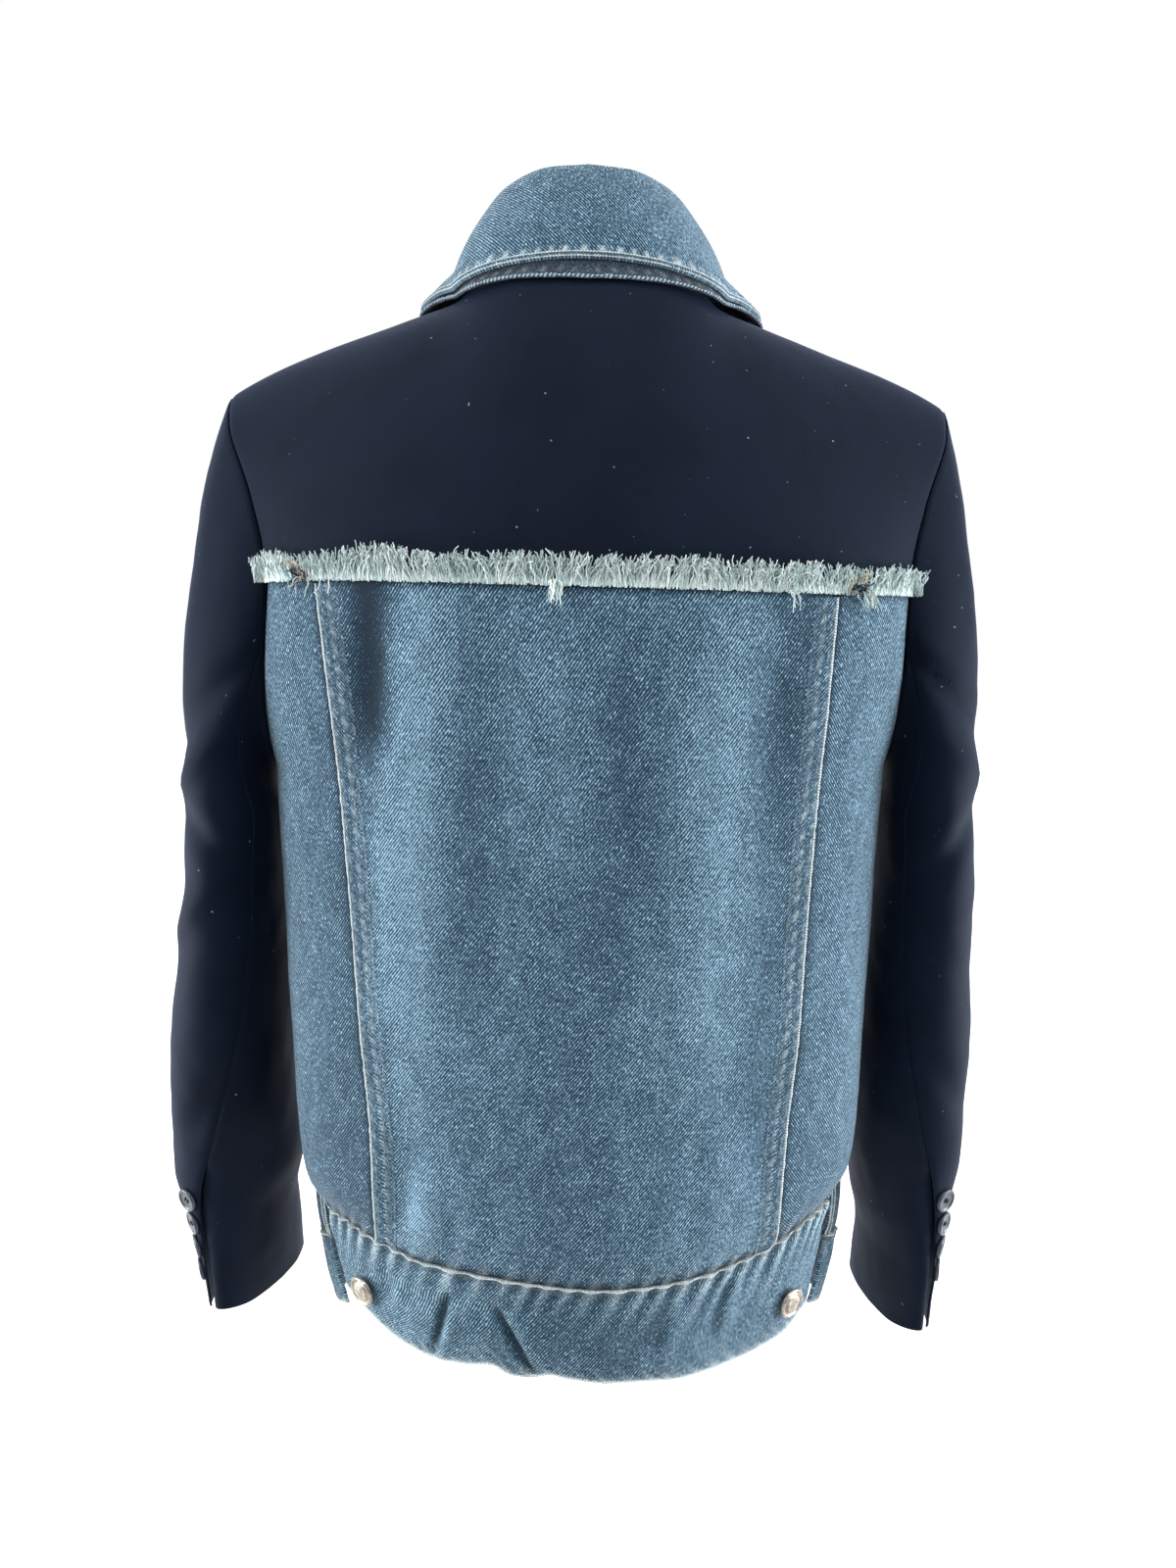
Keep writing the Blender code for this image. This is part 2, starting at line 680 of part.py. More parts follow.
# The right front lies over the left one
def lap_rise(side, x):
    if side > 0:
        return np.zeros_like(x)
    return LAP_LIFT * ease((x - LAP_COLUMNS[-1] * side) / (LAP_COLUMNS[-1] / 2))


def build_front():
    for name, side in SIDES:
        last = side_edge(-1, side)
        for piece, rows, thickness, extra in (
            ("front_panel", FRONT_ROWS, DENIM_THICK, 0.0),
            ("front_band", spaced(FRONT_BAND_TOP, FRONT_HEM, 2), BAND_THICK, BAND_LIFT),
        ):
            height = np.repeat(rows[:, None], FRONT_STEPS + 1, axis=1)
            across = front_columns(side, rows, last(rows))
            x = ring(-1, across, height)[..., 0]
            outer = body(-1, across, height, extra + lap_rise(side, x))
            cloth(f"{piece}_{name}", outer, ring_facing(-1, across, height), thickness, DENIM)


# Suiting upper back and upper fronts
def build_yokes():
    half = np.concatenate([spaced(0, NECK_SHARE, 6), spaced(NECK_SHARE, 1, 8)[1:]])
    columns = np.concatenate([-half[:0:-1], half])
    across, climb = grid(columns, CLIMBS)
    facing = outward(1, normals(lambda u, v: yoke(1, u, v), across, climb))
    facing = lift_shoulder(facing, climb)
    cloth("back_yoke", yoke(1, across, climb), facing, SUITING_THICK, SUITING)
    for name, side in SIDES:
        lap = across_at(-1, np.array(LAP), np.array(FRINGE_LINE))
        columns = np.concatenate([[-lap, 0], half[1:]])
        across, climb = grid(columns, CLIMBS)
        outer = yoke(-1, across, climb)
        facing = outward(-1, normals(lambda u, v: yoke(-1, u, v), across, climb))
        facing = lift_shoulder(facing, climb)
        mirror = np.array([side, 1, 1])
        outer, facing = outer * mirror, facing * mirror
        outer[..., 1] -= lap_rise(side, outer[..., 0])
        cloth(f"front_yoke_{name}", outer, facing, SUITING_THICK, SUITING)


# On the shoulder line both yokes face straight up, so their edges stay side by side
def lift_shoulder(facing, climb):
    facing = np.where(facing[..., 2:3] < -0.3, -facing, facing)
    up = ease((climb - 0.85) / 0.15)[..., None]
    flat = facing * np.array([1, 0, 1])
    return unit(facing * (1 - up) + unit(flat) * up)


# Sleeves
def sleeve_facing(name, angle, down):
    one = sleeve(name, angle + 1, down) - sleeve(name, angle - 1, down)
    other = sleeve(name, angle, down + 2e-3) - sleeve(name, angle, np.maximum(down - 2e-3, 0))
    return unit(np.cross(other, one))


CAP_ROWS = np.array([0, 0.10, 0.26, 0.46, 0.72])


def sleeve_rows(table):
    cuff = table.along[0]
    heights = np.array([CAP_END, -0.315, -0.345, -0.38, -0.42, -0.465, -0.51, -0.55, -0.59, cuff])
    return np.concatenate([CAP_ROWS, 1 + (heights - CAP_END) / (cuff - CAP_END)])


def build_sleeves():
    round_back = np.concatenate([UPPER_ANGLES, LOWER_ANGLES[1:]])
    all_round = np.concatenate([-round_back[:0:-1], round_back, 360 - round_back[-2::-1]])
    for name, side in SIDES:
        rows = sleeve_rows(SLEEVES[name][0])
        back = SLEEVE_SEAMS("back", rows)
        front = SLEEVE_SEAMS("front", rows)
        for piece, start, end in (
            ("top_sleeve", front - 360, back),
            ("under_sleeve", back, front),
        ):
            head = all_round[(all_round >= start[0] - 0.1) & (all_round <= end[0] + 0.1)]
            share, down = grid((head - start[0]) / (end[0] - start[0]), rows)
            angle = start[:, None] + (end - start)[:, None] * share
            facing = sleeve_facing(name, angle, down)
            facing[0, :, 0] = 0
            facing = unit(facing)
            mirror = np.array([side, 1, 1])
            outer = sleeve(name, angle, down)
            cloth(f"{piece}_{name}", outer * mirror, facing * mirror, SUITING_THICK, SUITING)


# Turned pieces: a profile of radius and height, spun about the direction it faces
def turned(name, profile, sides, place, facing, material):
    axis = Vector(facing).normalized()
    turn = axis.to_track_quat("Z", "Y").to_matrix()
    vertices = [Vector((0, 0, profile[0][1]))]
    for radius, height in profile[1:-1]:
        for i in range(sides):
            angle = 2 * math.pi * i / sides
            vertices.append(Vector((radius * math.cos(angle), radius * math.sin(angle), height)))
    vertices.append(Vector((0, 0, profile[-1][1])))
    rings = len(profile) - 2
    last = len(vertices) - 1
    faces = []
    for i in range(sides):
        after = (i + 1) % sides
        faces.append((0, 1 + after, 1 + i))
        faces.append((last, last - sides + i, last - sides + after))
        for k in range(rings - 1):
            a, b = 1 + k * sides, 1 + (k + 1) * sides
            faces.append((a + i, a + after, b + after, b + i))
    placed = [turn @ v + Vector(place) for v in vertices]
    spots = [np.array(v) for v in placed]
    if enclosed([s - spots[0] for s in spots], faces) < 0:
        faces = [face[::-1] for face in faces]
    item = add_mesh(name, placed, faces, material)
    item.data.set_sharp_from_angle(angle=math.radians(40))
    return item


def tack_button(name, spot, facing):
    base = stand(spot + facing * LAY_GAP)
    radius, tall = TACK_RADIUS, TACK_HEIGHT
    profile = (
        (0, 0),
        (0.45 * radius, 0),
        (0.45 * radius, 0.36 * tall),
        (0.94 * radius, 0.42 * tall),
        (radius, 0.62 * tall),
        (0.90 * radius, 0.86 * tall),
        (0.70 * radius, 0.78 * tall),
        (0.55 * radius, 0.92 * tall),
        (0, tall),
    )
    turned(name, profile, 14, base, facing, SILVER)


def build_buttons():
    for name, side in SIDES:
        u, v = np.array(side * BAND_BUTTON_ACROSS), np.array(BAND_BUTTON_HEIGHT)
        facing = ring_facing(1, u, v)
        tack_button(f"band_button_{name}", body(1, u, v, BAND_LIFT + SEAM_GAP), facing)
    for i, height in enumerate(FRONT_BUTTON_HEIGHTS):
        if height > FRINGE_LINE:
            rise = (height - FRINGE_LINE) / (NECK_FRONT_Z - FRINGE_LINE)
            u, v = np.array(0.0), np.arcsin(rise ** (1 / YOKE_CLIMB)) / (math.pi / 2)
            facing = outward(-1, normals(lambda a, b: yoke(-1, a, b), u + 0.02, v))
            facing = unit(facing * np.array([0, 1, 1]))
            spot = yoke(-1, u, v) + facing * LAP_LIFT
        else:
            u, v = np.array(0.0), np.array(height)
            facing = np.array([0.0, -1.0, 0.0])
            spot = body(-1, u, v, LAP_LIFT)
        tack_button(f"front_button_{i + 1}", spot, facing)


def build_cuff_buttons():
    radius, thick = CUFF_BUTTON_RADIUS, CUFF_BUTTON_THICK
    profile = (
        (0, 0),
        (0.80 * radius, 0),
        (radius, 0.35 * thick),
        (radius, 0.75 * thick),
        (0.90 * radius, thick),
        (0.66 * radius, 0.72 * thick),
        (0, 0.72 * thick),
    )
    for name, side in SIDES:
        cuff = SLEEVES[name][0].along[0]
        mirror = np.array([side, 1, 1])
        for i in range(4):
            height = CUFF_BUTTON_FIRST - CUFF_BUTTON_PITCH * i
            down = 1 + (height - CAP_END) / (cuff - CAP_END)
            angle = SLEEVE_SEAMS("back", down) - CUFF_BUTTON_INSET
            facing = sleeve_facing(name, angle, down)
            spot = (sleeve(name, angle, down) + facing * LAY_GAP) * mirror
            turned(
                f"cuff_button_{name}_{i + 1}", profile, 12, stand(spot), facing * mirror, HORN
            )


# Frayed strip: a narrow tape over the seam, with locks of thread that stand up from its top edge
def fringe_path(count):
    across = spaced(-1, 1, 240)
    lift = LAY_GAP * 2 + FRINGE_STRIP_THICK
    line = body(1, across, np.full(across.shape, FRINGE_LINE), lift)
    facing = ring_facing(1, across, FRINGE_LINE + 0 * across)
    reach = np.array([FRINGE_OVERHANG, 0.6 * FRINGE_OVERHANG, 0])
    line = np.concatenate([[line[0] + reach * (-1, 1, 1)], line, [line[-1] + reach]])
    facing = np.concatenate([facing[:1], facing, facing[-1:]])
    along = np.concatenate([[0], np.cumsum(np.linalg.norm(np.diff(line, axis=0), axis=1))])
    wanted = np.linspace(0, along[-1], count)
    pick = lambda values: np.stack([np.interp(wanted, along, values[:, k]) for k in range(3)], 1)
    return pick(line), unit(pick(facing))


# Uneven but repeatable: three waves of unlike length
def uneven(index, waves):
    return sum(size * math.sin(index * 2 * math.pi / length + phase) for size, length, phase in waves)


def build_fringe():
    columns = 2 * FRINGE_LOCKS
    line, facing = fringe_path(columns)
    top = line + point(0, 0, FRINGE_STRIP_TOP)
    low = line - point(0, 0, FRINGE_STRIP_HEIGHT - FRINGE_STRIP_TOP)
    back = facing * FRINGE_STRIP_THICK
    coarse = list(range(0, columns - 1, 8)) + [columns - 1]
    vertices = [*top, *(top - back)]
    low_start = len(vertices)
    vertices += [*low[coarse], *(low - back)[coarse]]
    low_back = low_start + len(coarse)
    faces = []
    for k, (start, end) in enumerate(zip(coarse, coarse[1:])):
        a, b = low_start + k, low_start + k + 1
        c, d = low_back + k, low_back + k + 1
        faces += [(a, b, end), (c, end + columns, d), (a, c, d, b)]
        faces += [(a, i + 1, i) for i in range(start, end)]
        faces += [(c, i + columns, i + 1 + columns) for i in range(start, end)]
    faces.append((0, columns, low_back, low_start))
    ends = (low_start + len(coarse) - 1, low_back + len(coarse) - 1)
    faces.append((columns - 1, ends[0], ends[1], 2 * columns - 1))
    for i in range(1, columns - 1, 2):
        faces.append((i, i + 1, i + 1 + columns, i + columns))
    for lock in range(FRINGE_LOCKS):
        i = 2 * lock
        root = [i, i + 1, i + 1 + columns, i + columns]
        along = unit(line[min(i + 1, columns - 1)] - line[i])
        out = facing[i]
        length = FRINGE_LENGTH + uneven(lock, LENGTH_WAVES)
        lean = uneven(lock, LEAN_WAVES)
        from_end = min(lock, FRINGE_LOCKS - 1 - lock)
        lean += np.sign(lock - FRINGE_LOCKS / 2) * FRINGE_END_LEAN * max(0, 4 - from_end)
        middle = sum(np.array(vertices[k]) for k in root) / 4
        bend = middle + point(0, 0, 0.5 * length) + along * lean * 0.35 + out * 0.0010
        tip = middle + point(0, 0, length) + along * lean + out * 0.0024
        drop = DROOPING_LOCKS.get(lock)
        if drop:
            bend = middle + point(0, 0, 0.0030) + out * 0.0033
            tip = middle - point(0, 0, drop) + out * 0.0050 + along * lean * 0.4
        shoulder = []
        for k in root:
            offset = (np.array(vertices[k]) - middle) * 0.80
            if drop:
                # where the lock folds over, its outer side turns down
                offset = offset - (out + point(0, 0, 1)) * np.dot(offset, out)
            shoulder.append(len(vertices))
            vertices.append(bend + offset)
        tip_index = len(vertices)
        vertices.append(tip)
        for (a, b), (c, d) in zip(
            zip(root, root[1:] + root[:1]), zip(shoulder, shoulder[1:] + shoulder[:1])
        ):
            faces += [(a, b, d, c), (c, d, tip_index)]
    vertices = stand(np.array(vertices))
    if enclosed(vertices, faces) < 0:
        faces = [face[::-1] for face in faces]
    add_mesh("frayed_strip", vertices, faces, FRAY, smooth=False)


# Collar
def over_shoulder(across, over):
    return np.where(
        (over <= 1)[..., None], yoke(1, across, over), yoke(-1, across, np.clip(2 - over, 0, 1))
    )


# The leaf falls from the fold, share 0, to its edge over the yokes, share 1. The under leaf runs on
# past that edge.
def leaf_surface(turn, share):
    size, side = np.abs(turn), np.where(turn < 0, -1, 1)
    fold = point(COLLAR("fold_x", size), COLLAR("fold_y", size), COLLAR("fold_z", size))
    inside = np.clip(share, 0, 1)
    spring = LEAF_SPRING * 4 * inside * (1 - inside)
    surface = leaf_over_yoke(size, share, COLLAR("lift", size) * inside + spring)
    surface = surface + (fold - neckline(size)) * (1 - inside[..., None])
    edge = leaf_over_yoke(size, np.ones_like(share), COLLAR("lift", size))
    bulge = FRONT_SPRING * spring
    straight = fold + (edge - fold) * share[..., None] + point(0, -bulge, bulge)
    front = ease((size - FRONT_TURN) / FRONT_TURN_REACH)
    surface = surface + (straight - surface) * front[..., None]
    surface[..., 0] *= side
    return surface


# A point of the leaf that lies over the yokes, so high above them
def leaf_over_yoke(size, share, lift):
    root_across = np.where(size < 90, size / 90, (180 - size) / 90) * NECK_SHARE
    across = root_across + (COLLAR("across", size) - root_across) * share
    over = 1 + (COLLAR("over", size) - 1) * share
    over = np.where(size < 90, np.minimum(over, 1), np.maximum(over, 1.0001))
    facing = unit(normals(over_shoulder, across, over, 0.01))
    facing = np.where(facing[..., 2:3] < 0, -facing, facing)
    return over_shoulder(across, over) + facing * lift[..., None]


# The direction away from the leaf, evened out along the fold
def leaf_facing(turn, share):
    share = np.maximum(share, LEAF_ROWS[1] / 2)
    total = 0
    for nearby in (turn - FACING_REACH, turn, turn + FACING_REACH):
        one = leaf_surface(nearby + 1, share) - leaf_surface(nearby - 1, share)
        other = leaf_surface(nearby, share + 0.02) - leaf_surface(nearby, share - 0.02)
        facing = unit(np.cross(one, other))
        total = total + np.where(facing[..., 2:3] < 0, -facing, facing)
    return unit(total)


# The neckline of the yokes, as a function of the same turn
def neckline(turn):
    size = np.abs(turn)
    share = np.where(size < 90, size / 90, (180 - size) / 90) * NECK_SHARE
    side = np.where(turn < 0, -1, 1)
    return np.where((size < 90)[..., None], yoke_top(1, share * side), yoke_top(-1, share * side))


def build_collar():
    turns = spaced(-COLLAR_END, COLLAR_END, 33)
    turn, share = grid(turns, LEAF_ROWS)
    facing = leaf_facing(turn, share)
    cloth("collar_leaf", leaf_surface(turn, share), facing, COLLAR_THICK, DENIM)
    turn, share = grid(turns, np.append(LEAF_ROWS[2:], 2))
    share = np.where(share > 1, COLLAR("reach", np.abs(turn)), share)
    facing = leaf_facing(turn, share)
    below = COLLAR_THICK + LAY_GAP + COLLAR("part", np.abs(turn)) * ease((share - 0.4) / 0.6)
    under = leaf_surface(turn, share) - facing * below[..., None]
    cloth("collar_under_leaf", under, facing, UNDER_LEAF_THICK, DARK_DENIM)
    turn, share = grid(spaced(-COLLAR_END, COLLAR_END, 22), np.array([0, 0.5, 1.0]))
    foot = neckline(turn) + point(0, 0, STAND_GAP)
    size, side = np.abs(turn), np.where(turn < 0, -1, 1)
    top = point(COLLAR("fold_x", size) * side, COLLAR("fold_y", size), COLLAR("fold_z", size))
    inside = unit(point(top[..., 0], top[..., 1] - COLLAR_MIDDLE_Y, 0 * turn))
    top = top - inside * COLLAR_THICK / 2 - point(0, 0, COLLAR_THICK + 2 * LAY_GAP)
    outer = foot + (top - foot) * share[..., None]
    facing = unit(point(outer[..., 0], outer[..., 1] - COLLAR_MIDDLE_Y, 0 * turn))
    cloth("collar_stand", outer, facing, DENIM_THICK, DENIM)


build_back()
build_front()
build_yokes()
build_sleeves()
build_buttons()
build_cuff_buttons()
build_collar()
build_fringe()
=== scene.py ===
# Worn jacket, seen from behind: navy suiting shoulders and sleeves, washed denim collar, body and
# waistband, and a frayed edge where the two cloths meet. Metres, front -Y, the wearer's left +X.
import math

import bpy
import numpy as np
from mathutils import Matrix, Vector, noise


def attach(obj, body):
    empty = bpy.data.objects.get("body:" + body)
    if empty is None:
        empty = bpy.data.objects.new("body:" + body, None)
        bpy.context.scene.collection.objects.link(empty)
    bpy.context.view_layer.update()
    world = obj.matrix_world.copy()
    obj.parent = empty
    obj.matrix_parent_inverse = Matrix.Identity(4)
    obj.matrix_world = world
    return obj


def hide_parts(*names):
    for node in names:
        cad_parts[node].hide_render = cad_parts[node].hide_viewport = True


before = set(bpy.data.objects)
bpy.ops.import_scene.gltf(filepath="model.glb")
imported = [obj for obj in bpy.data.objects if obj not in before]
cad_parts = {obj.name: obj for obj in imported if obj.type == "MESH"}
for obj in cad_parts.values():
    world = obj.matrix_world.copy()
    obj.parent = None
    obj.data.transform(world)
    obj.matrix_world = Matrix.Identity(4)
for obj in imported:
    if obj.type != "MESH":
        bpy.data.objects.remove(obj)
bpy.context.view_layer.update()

print("stage: camera, lights and floor")
view = {"place": (0.0, 0.72, -0.175), "pitch": 82, "lens": 27.05, "sensor": 36}
lights = {  # place, aim, size, power
    "softboxLeft": ((1.35, 0.80, 0.55), (0.05, 0.0, -0.3), 0.9, 17.0),
    "softboxRight": ((-1.35, 0.85, 0.50), (-0.05, 0.0, -0.3), 0.9, 16.0),
    "softboxTop": ((0.0, 0.75, 1.35), (0.0, 0.0, -0.25), 0.9, 13.0),
    "frontFill": ((0.0, -1.7, 0.5), (0.0, 0.0, -0.3), 1.6, 12.0),
    "sideFillLeft": ((1.10, 0.16, -0.48), (0.2, 0.0, -0.44), 0.5, 10.0),
    "sideFillRight": ((-1.10, 0.16, -0.48), (-0.2, 0.0, -0.44), 0.5, 10.5),
}
floor = {"height": -0.86, "radius": 7.0, "corners": 64, "colour": "#b9b9b7", "light": "#ffffff"}
glow = {"far": 1.0, "near": 0.15}  # how brightly the floor shines beyond the jacket and before it
room = {"far": 1.0, "near": 0.22, "colour": "#ffffff"}  # the same for the walls


def linear(hexColour):
    channels = [int(hexColour[i : i + 2], 16) / 255 for i in (1, 3, 5)]
    return (*(c / 12.92 if c < 0.04045 else ((c + 0.055) / 1.055) ** 2.4 for c in channels), 1.0)


# Sets a node's inputs, by name or in order: plain values, or sockets to link
def setInputs(node, inputs):
    for key, value in inputs.items() if isinstance(inputs, dict) else enumerate(inputs):
        if isinstance(value, bpy.types.NodeSocket):
            node.id_data.links.new(value, node.inputs[key])
        else:
            node.inputs[key].default_value = value


# Adds a node and gives one of its outputs. A shader node's kind comes without its ShaderNode.
def addNode(tree, kind, inputs=(), out=0, **settings):
    node = tree.nodes.new(kind if "Node" in kind else "ShaderNode" + kind)
    for key, value in settings.items():
        setattr(node, key, value)
    setInputs(node, inputs)
    return node.outputs[out]


def newMaterial(name):
    material = bpy.data.materials.new(name)
    material.use_nodes = True
    return material, material.node_tree, material.node_tree.nodes["Principled BSDF"]


def newObject(name, data):
    made = bpy.data.objects.new(name, data)
    bpy.context.scene.collection.objects.link(made)
    return made


cameraData = bpy.data.cameras.new("camera")
cameraData.lens = view["lens"]
cameraData.sensor_width = view["sensor"]
cameraData.clip_start = 0.01
camera = newObject("camera", cameraData)
camera.location = view["place"]
camera.rotation_euler = (math.radians(view["pitch"]), 0, math.pi)
bpy.context.scene.camera = camera
bpy.context.scene.view_settings.view_transform = "Standard"

for name, (place, aim, size, power) in lights.items():
    lamp = bpy.data.lights.new(name, "AREA")
    lamp.shape, lamp.size, lamp.energy = "DISK", size, power
    lampObject = newObject(name, lamp)
    lampObject.location = place
    lampObject.rotation_euler = (Vector(aim) - Vector(place)).to_track_quat("-Z", "Y").to_euler()

# A lit white backdrop beyond the jacket that dims towards the near side of the room
world = bpy.data.worlds.new("studio")
world.use_nodes = True
tree = world.node_tree
direction = addNode(tree, "TexCoord", out="Generated")
sideways = addNode(tree, "SeparateXYZ", (direction,), "Y")
dim = addNode(tree, "MapRange", (sideways, -0.35, 0.30, room["far"], room["near"]),
              interpolation_type="SMOOTHSTEP")
setInputs(tree.nodes["Background"], {"Color": linear(room["colour"]), "Strength": dim})
bpy.context.scene.world = world

ground = bpy.data.meshes.new("floor")
turns = np.linspace(0, 2 * math.pi, floor["corners"] + 1)[:-1]
corners = [(math.cos(a) * floor["radius"], math.sin(a) * floor["radius"], floor["height"]) for a in turns]
ground.from_pydata(corners, [], [tuple(range(floor["corners"]))])
matte, tree, shader = newMaterial("matte studio floor")
depth = addNode(tree, "SeparateXYZ", (addNode(tree, "TexCoord", out="Object"),), "Y")
shine = addNode(tree, "MapRange", (depth, -0.30, 0.25, glow["far"], glow["near"]))
setInputs(shader, {"Base Color": linear(floor["colour"]), "Roughness": 0.9,
                   "Emission Color": linear(floor["light"]), "Emission Strength": shine})
ground.materials.append(matte)
newObject("floor", ground)

print("stage: the cut of the garment")
cloths = {  # thickness of each cloth, and the gaps between them
    "suiting": 0.0012, "denim": 0.0016, "band": 0.0026, "collar": 0.0024, "underLeaf": 0.0016,
    "fell": 0.0009, "fellLift": 0.0010, "bandLift": 0.0005, "seamGap": 0.0003, "layGap": 0.0005,
}
levels = {  # heights below the foot of the neck
    "fringe": -0.157, "underarm": -0.2615, "capEnd": -0.290, "slitTop": -0.508, "slitBend": -0.524,
    "backBand": -0.540, "backHem": -0.596, "frontBand": -0.572, "frontHem": -0.618,
}
armholeCut = {"rise": 0.1070, "drop": 0.1045, "back": 0.056, "front": 0.066}
neckCut = {
    "halfWidth": 0.070, "sideY": -0.006, "sideZ": 0.003, "backY": 0.062, "backZ": 0.020,
    "frontY": -0.088, "frontZ": -0.048, "share": 0.32, "straight": 0.85,
}
yokeCut = {"lean": 0.95, "climb": 1.35, "cornerFade": 2.0, "guideBend": 1.20}
stance = {
    "tilt": 0.0038, "tiltReach": 0.14, "hemRise": 0.0105, "hemStart": -0.490, "hemReach": 0.134,
    "hemFade": 0.05, "hemBack": 0.06,
}
collarCut = {
    "end": 165, "standGap": 0.0004, "middleY": -0.008, "spring": 0.002, "facingReach": 5,
    "frontTurn": 78, "frontReach": 24, "frontSpring": 1.7, "leftWide": 1.01, "rightWide": 1.045,
}
lapCut = {"width": 0.015, "lift": 0.0034, "buttons": (-0.075, -0.185, -0.295, -0.405, -0.515)}


class Table:
    # Rows of named columns, read at any place along the first column as one smooth curve
    def __init__(self, names, *rows):
        self.columns = dict(zip(names.split(), np.array(rows, float).T))
        self.along = self.columns[names.split()[0]]

    def __call__(self, name, place):
        places, values = self.along, self.columns[name]
        steps = np.diff(places)
        slopes = np.diff(values) / steps
        before, after = slopes[:-1], slopes[1:]
        level = before * after <= 0
        middle = np.where(level, 0, 2 * before * after / np.where(level, 1, before + after))
        tangents = np.concatenate([slopes[:1], middle, slopes[-1:]])
        place = np.clip(place, places[0], places[-1])
        row = np.clip(np.searchsorted(places, place) - 1, 0, len(steps) - 1)
        share = (place - places[row]) / steps[row]
        return (
            values[row] * (1 + 2 * share) * (1 - share) ** 2
            + values[row + 1] * share**2 * (3 - 2 * share)
            + tangents[row] * steps[row] * share * (1 - share) ** 2
            - tangents[row + 1] * steps[row] * share**2 * (1 - share)
        )


# Level rings of the body, hem upwards. Below the side slits the back is narrower than the front.
torsoRings = Table(
    "height backHalf frontHalf backDepth frontDepth squareness sway",
    (-0.620, 0.150, 0.160, 0.117, 0.108, 2.0, 0.0065),
    (-0.596, 0.156, 0.166, 0.118, 0.110, 2.0, 0.0065),
    (-0.540, 0.168, 0.1740, 0.121, 0.114, 2.0, 0.0065),
    (levels["slitTop"], 0.1745, 0.1745, 0.121, 0.115, 2.05, 0.0065),
    (-0.430, 0.1780, 0.1780, 0.120, 0.116, 2.1, 0.0065),
    (-0.330, 0.1805, 0.1805, 0.120, 0.117, 2.15, 0.0055),
    (levels["underarm"], 0.1825, 0.1825, 0.122, 0.118, 2.2, 0.0045),
    (-0.200, 0.1825, 0.1825, 0.123, 0.117, 2.3, 0.0020),
    (levels["fringe"], 0.1825, 0.1825, 0.121, 0.112, 2.35, 0.0),
)

# Armhole seam: angle round it from the shoulder point, back first, and how far out it lies
armholeSeam = Table(
    "angle out",
    (0, 0.2090),
    (36, 0.2030),
    (65, 0.1876),
    (81, 0.1808),
    (90, 0.1790),
    (120, 0.1815),
    (150, 0.1825),
    (180, 0.1825),
    (210, 0.1815),
    (240, 0.1765),
    (270, 0.1710),
    (300, 0.1790),
    (330, 0.1990),
    (360, 0.2090),
)

# The two back seams: how far each lies from the middle
backSeams = Table(
    "height left right",
    (levels["backBand"], 0.1150, 0.1135),
    (-0.475, 0.1150, 0.1165),
    (-0.405, 0.1190, 0.1230),
    (-0.315, 0.1245, 0.1265),
    (-0.235, 0.1315, 0.1290),
    (levels["fringe"], 0.1440, 0.1305),
)

# Edges of the open side slits, as a share of the quarter ring. Past 1 the front reaches behind the side.
slitEdges = Table(
    "height back front",
    (-0.620, 0.700, 1.060),
    (-0.596, 0.703, 1.055),
    (levels["frontBand"], 0.700, 1.045),
    (levels["backBand"], 0.708, 1.030),
    (levels["slitBend"], 0.850, 1.010),
    (levels["slitTop"], 1.0, 1.0),
)

# Sleeves: sections down the arm. skew turns the back of the section outwards, as the arm hangs.
leftSleeve = Table(
    "height out forward halfWidth halfDepth skew",
    (-0.616, 0.2175, -0.030, 0.0190, 0.0490, 0.0115),
    (-0.590, 0.2195, -0.029, 0.0220, 0.0490, 0.0115),
    (-0.560, 0.2225, -0.027, 0.0265, 0.0490, 0.0105),
    (-0.525, 0.2250, -0.025, 0.0365, 0.0500, 0.0090),
    (-0.465, 0.2235, -0.019, 0.0360, 0.0530, 0.0070),
    (-0.405, 0.2190, -0.013, 0.0325, 0.0550, 0.0045),
    (-0.338, 0.2140, -0.007, 0.0280, 0.0590, 0.0015),
    (levels["capEnd"], 0.2120, -0.004, 0.0270, 0.0620, 0.0),
)
rightSleeve = Table(
    "height out forward halfWidth halfDepth skew",
    (-0.631, 0.2105, -0.030, 0.0165, 0.0490, 0.0095),
    (-0.590, 0.2135, -0.029, 0.0170, 0.0490, 0.0095),
    (-0.560, 0.2140, -0.027, 0.0235, 0.0490, 0.0090),
    (-0.510, 0.2150, -0.023, 0.0315, 0.0505, 0.0075),
    (-0.440, 0.2145, -0.016, 0.0320, 0.0540, 0.0055),
    (-0.390, 0.2145, -0.011, 0.0305, 0.0560, 0.0035),
    (-0.338, 0.2140, -0.007, 0.0280, 0.0590, 0.0015),
    (levels["capEnd"], 0.2115, -0.004, 0.0265, 0.0620, 0.0),
)

# Where the sleeve seams run, as angles round the sleeve: 0 outside, 90 back, 180 inside, 270 front.
# down is 0 at the armhole, 1 at the end of the sleeve cap and 2 at the cuff.
sleeveSeams = Table(
    "down back front",
    (0.00, 108, 252),
    (0.50, 126, 242),
    (1.00, 140, 236),
    (1.14, 140, 236),
    (1.34, 130, 236),
    (1.52, 112, 236),
    (1.69, 93, 236),
    (1.80, 80, 236),
    (2.00, 62, 236),
)

# Direction in which the sleeve leaves the armhole
sleeveStart = Table(
    "angle leftOut rightOut back up",
    (0, 0.36, 0.20, 0.0, -0.80),
    (90, 0.38, 0.24, 0.10, -0.85),
    (140, 0.70, 0.65, 0.05, -0.60),
    (180, 0.95, 0.95, 0.0, -0.25),
    (220, 0.70, 0.65, -0.05, -0.60),
    (270, 0.42, 0.36, -0.10, -0.85),
    (360, 0.36, 0.20, 0.0, -0.80),
)

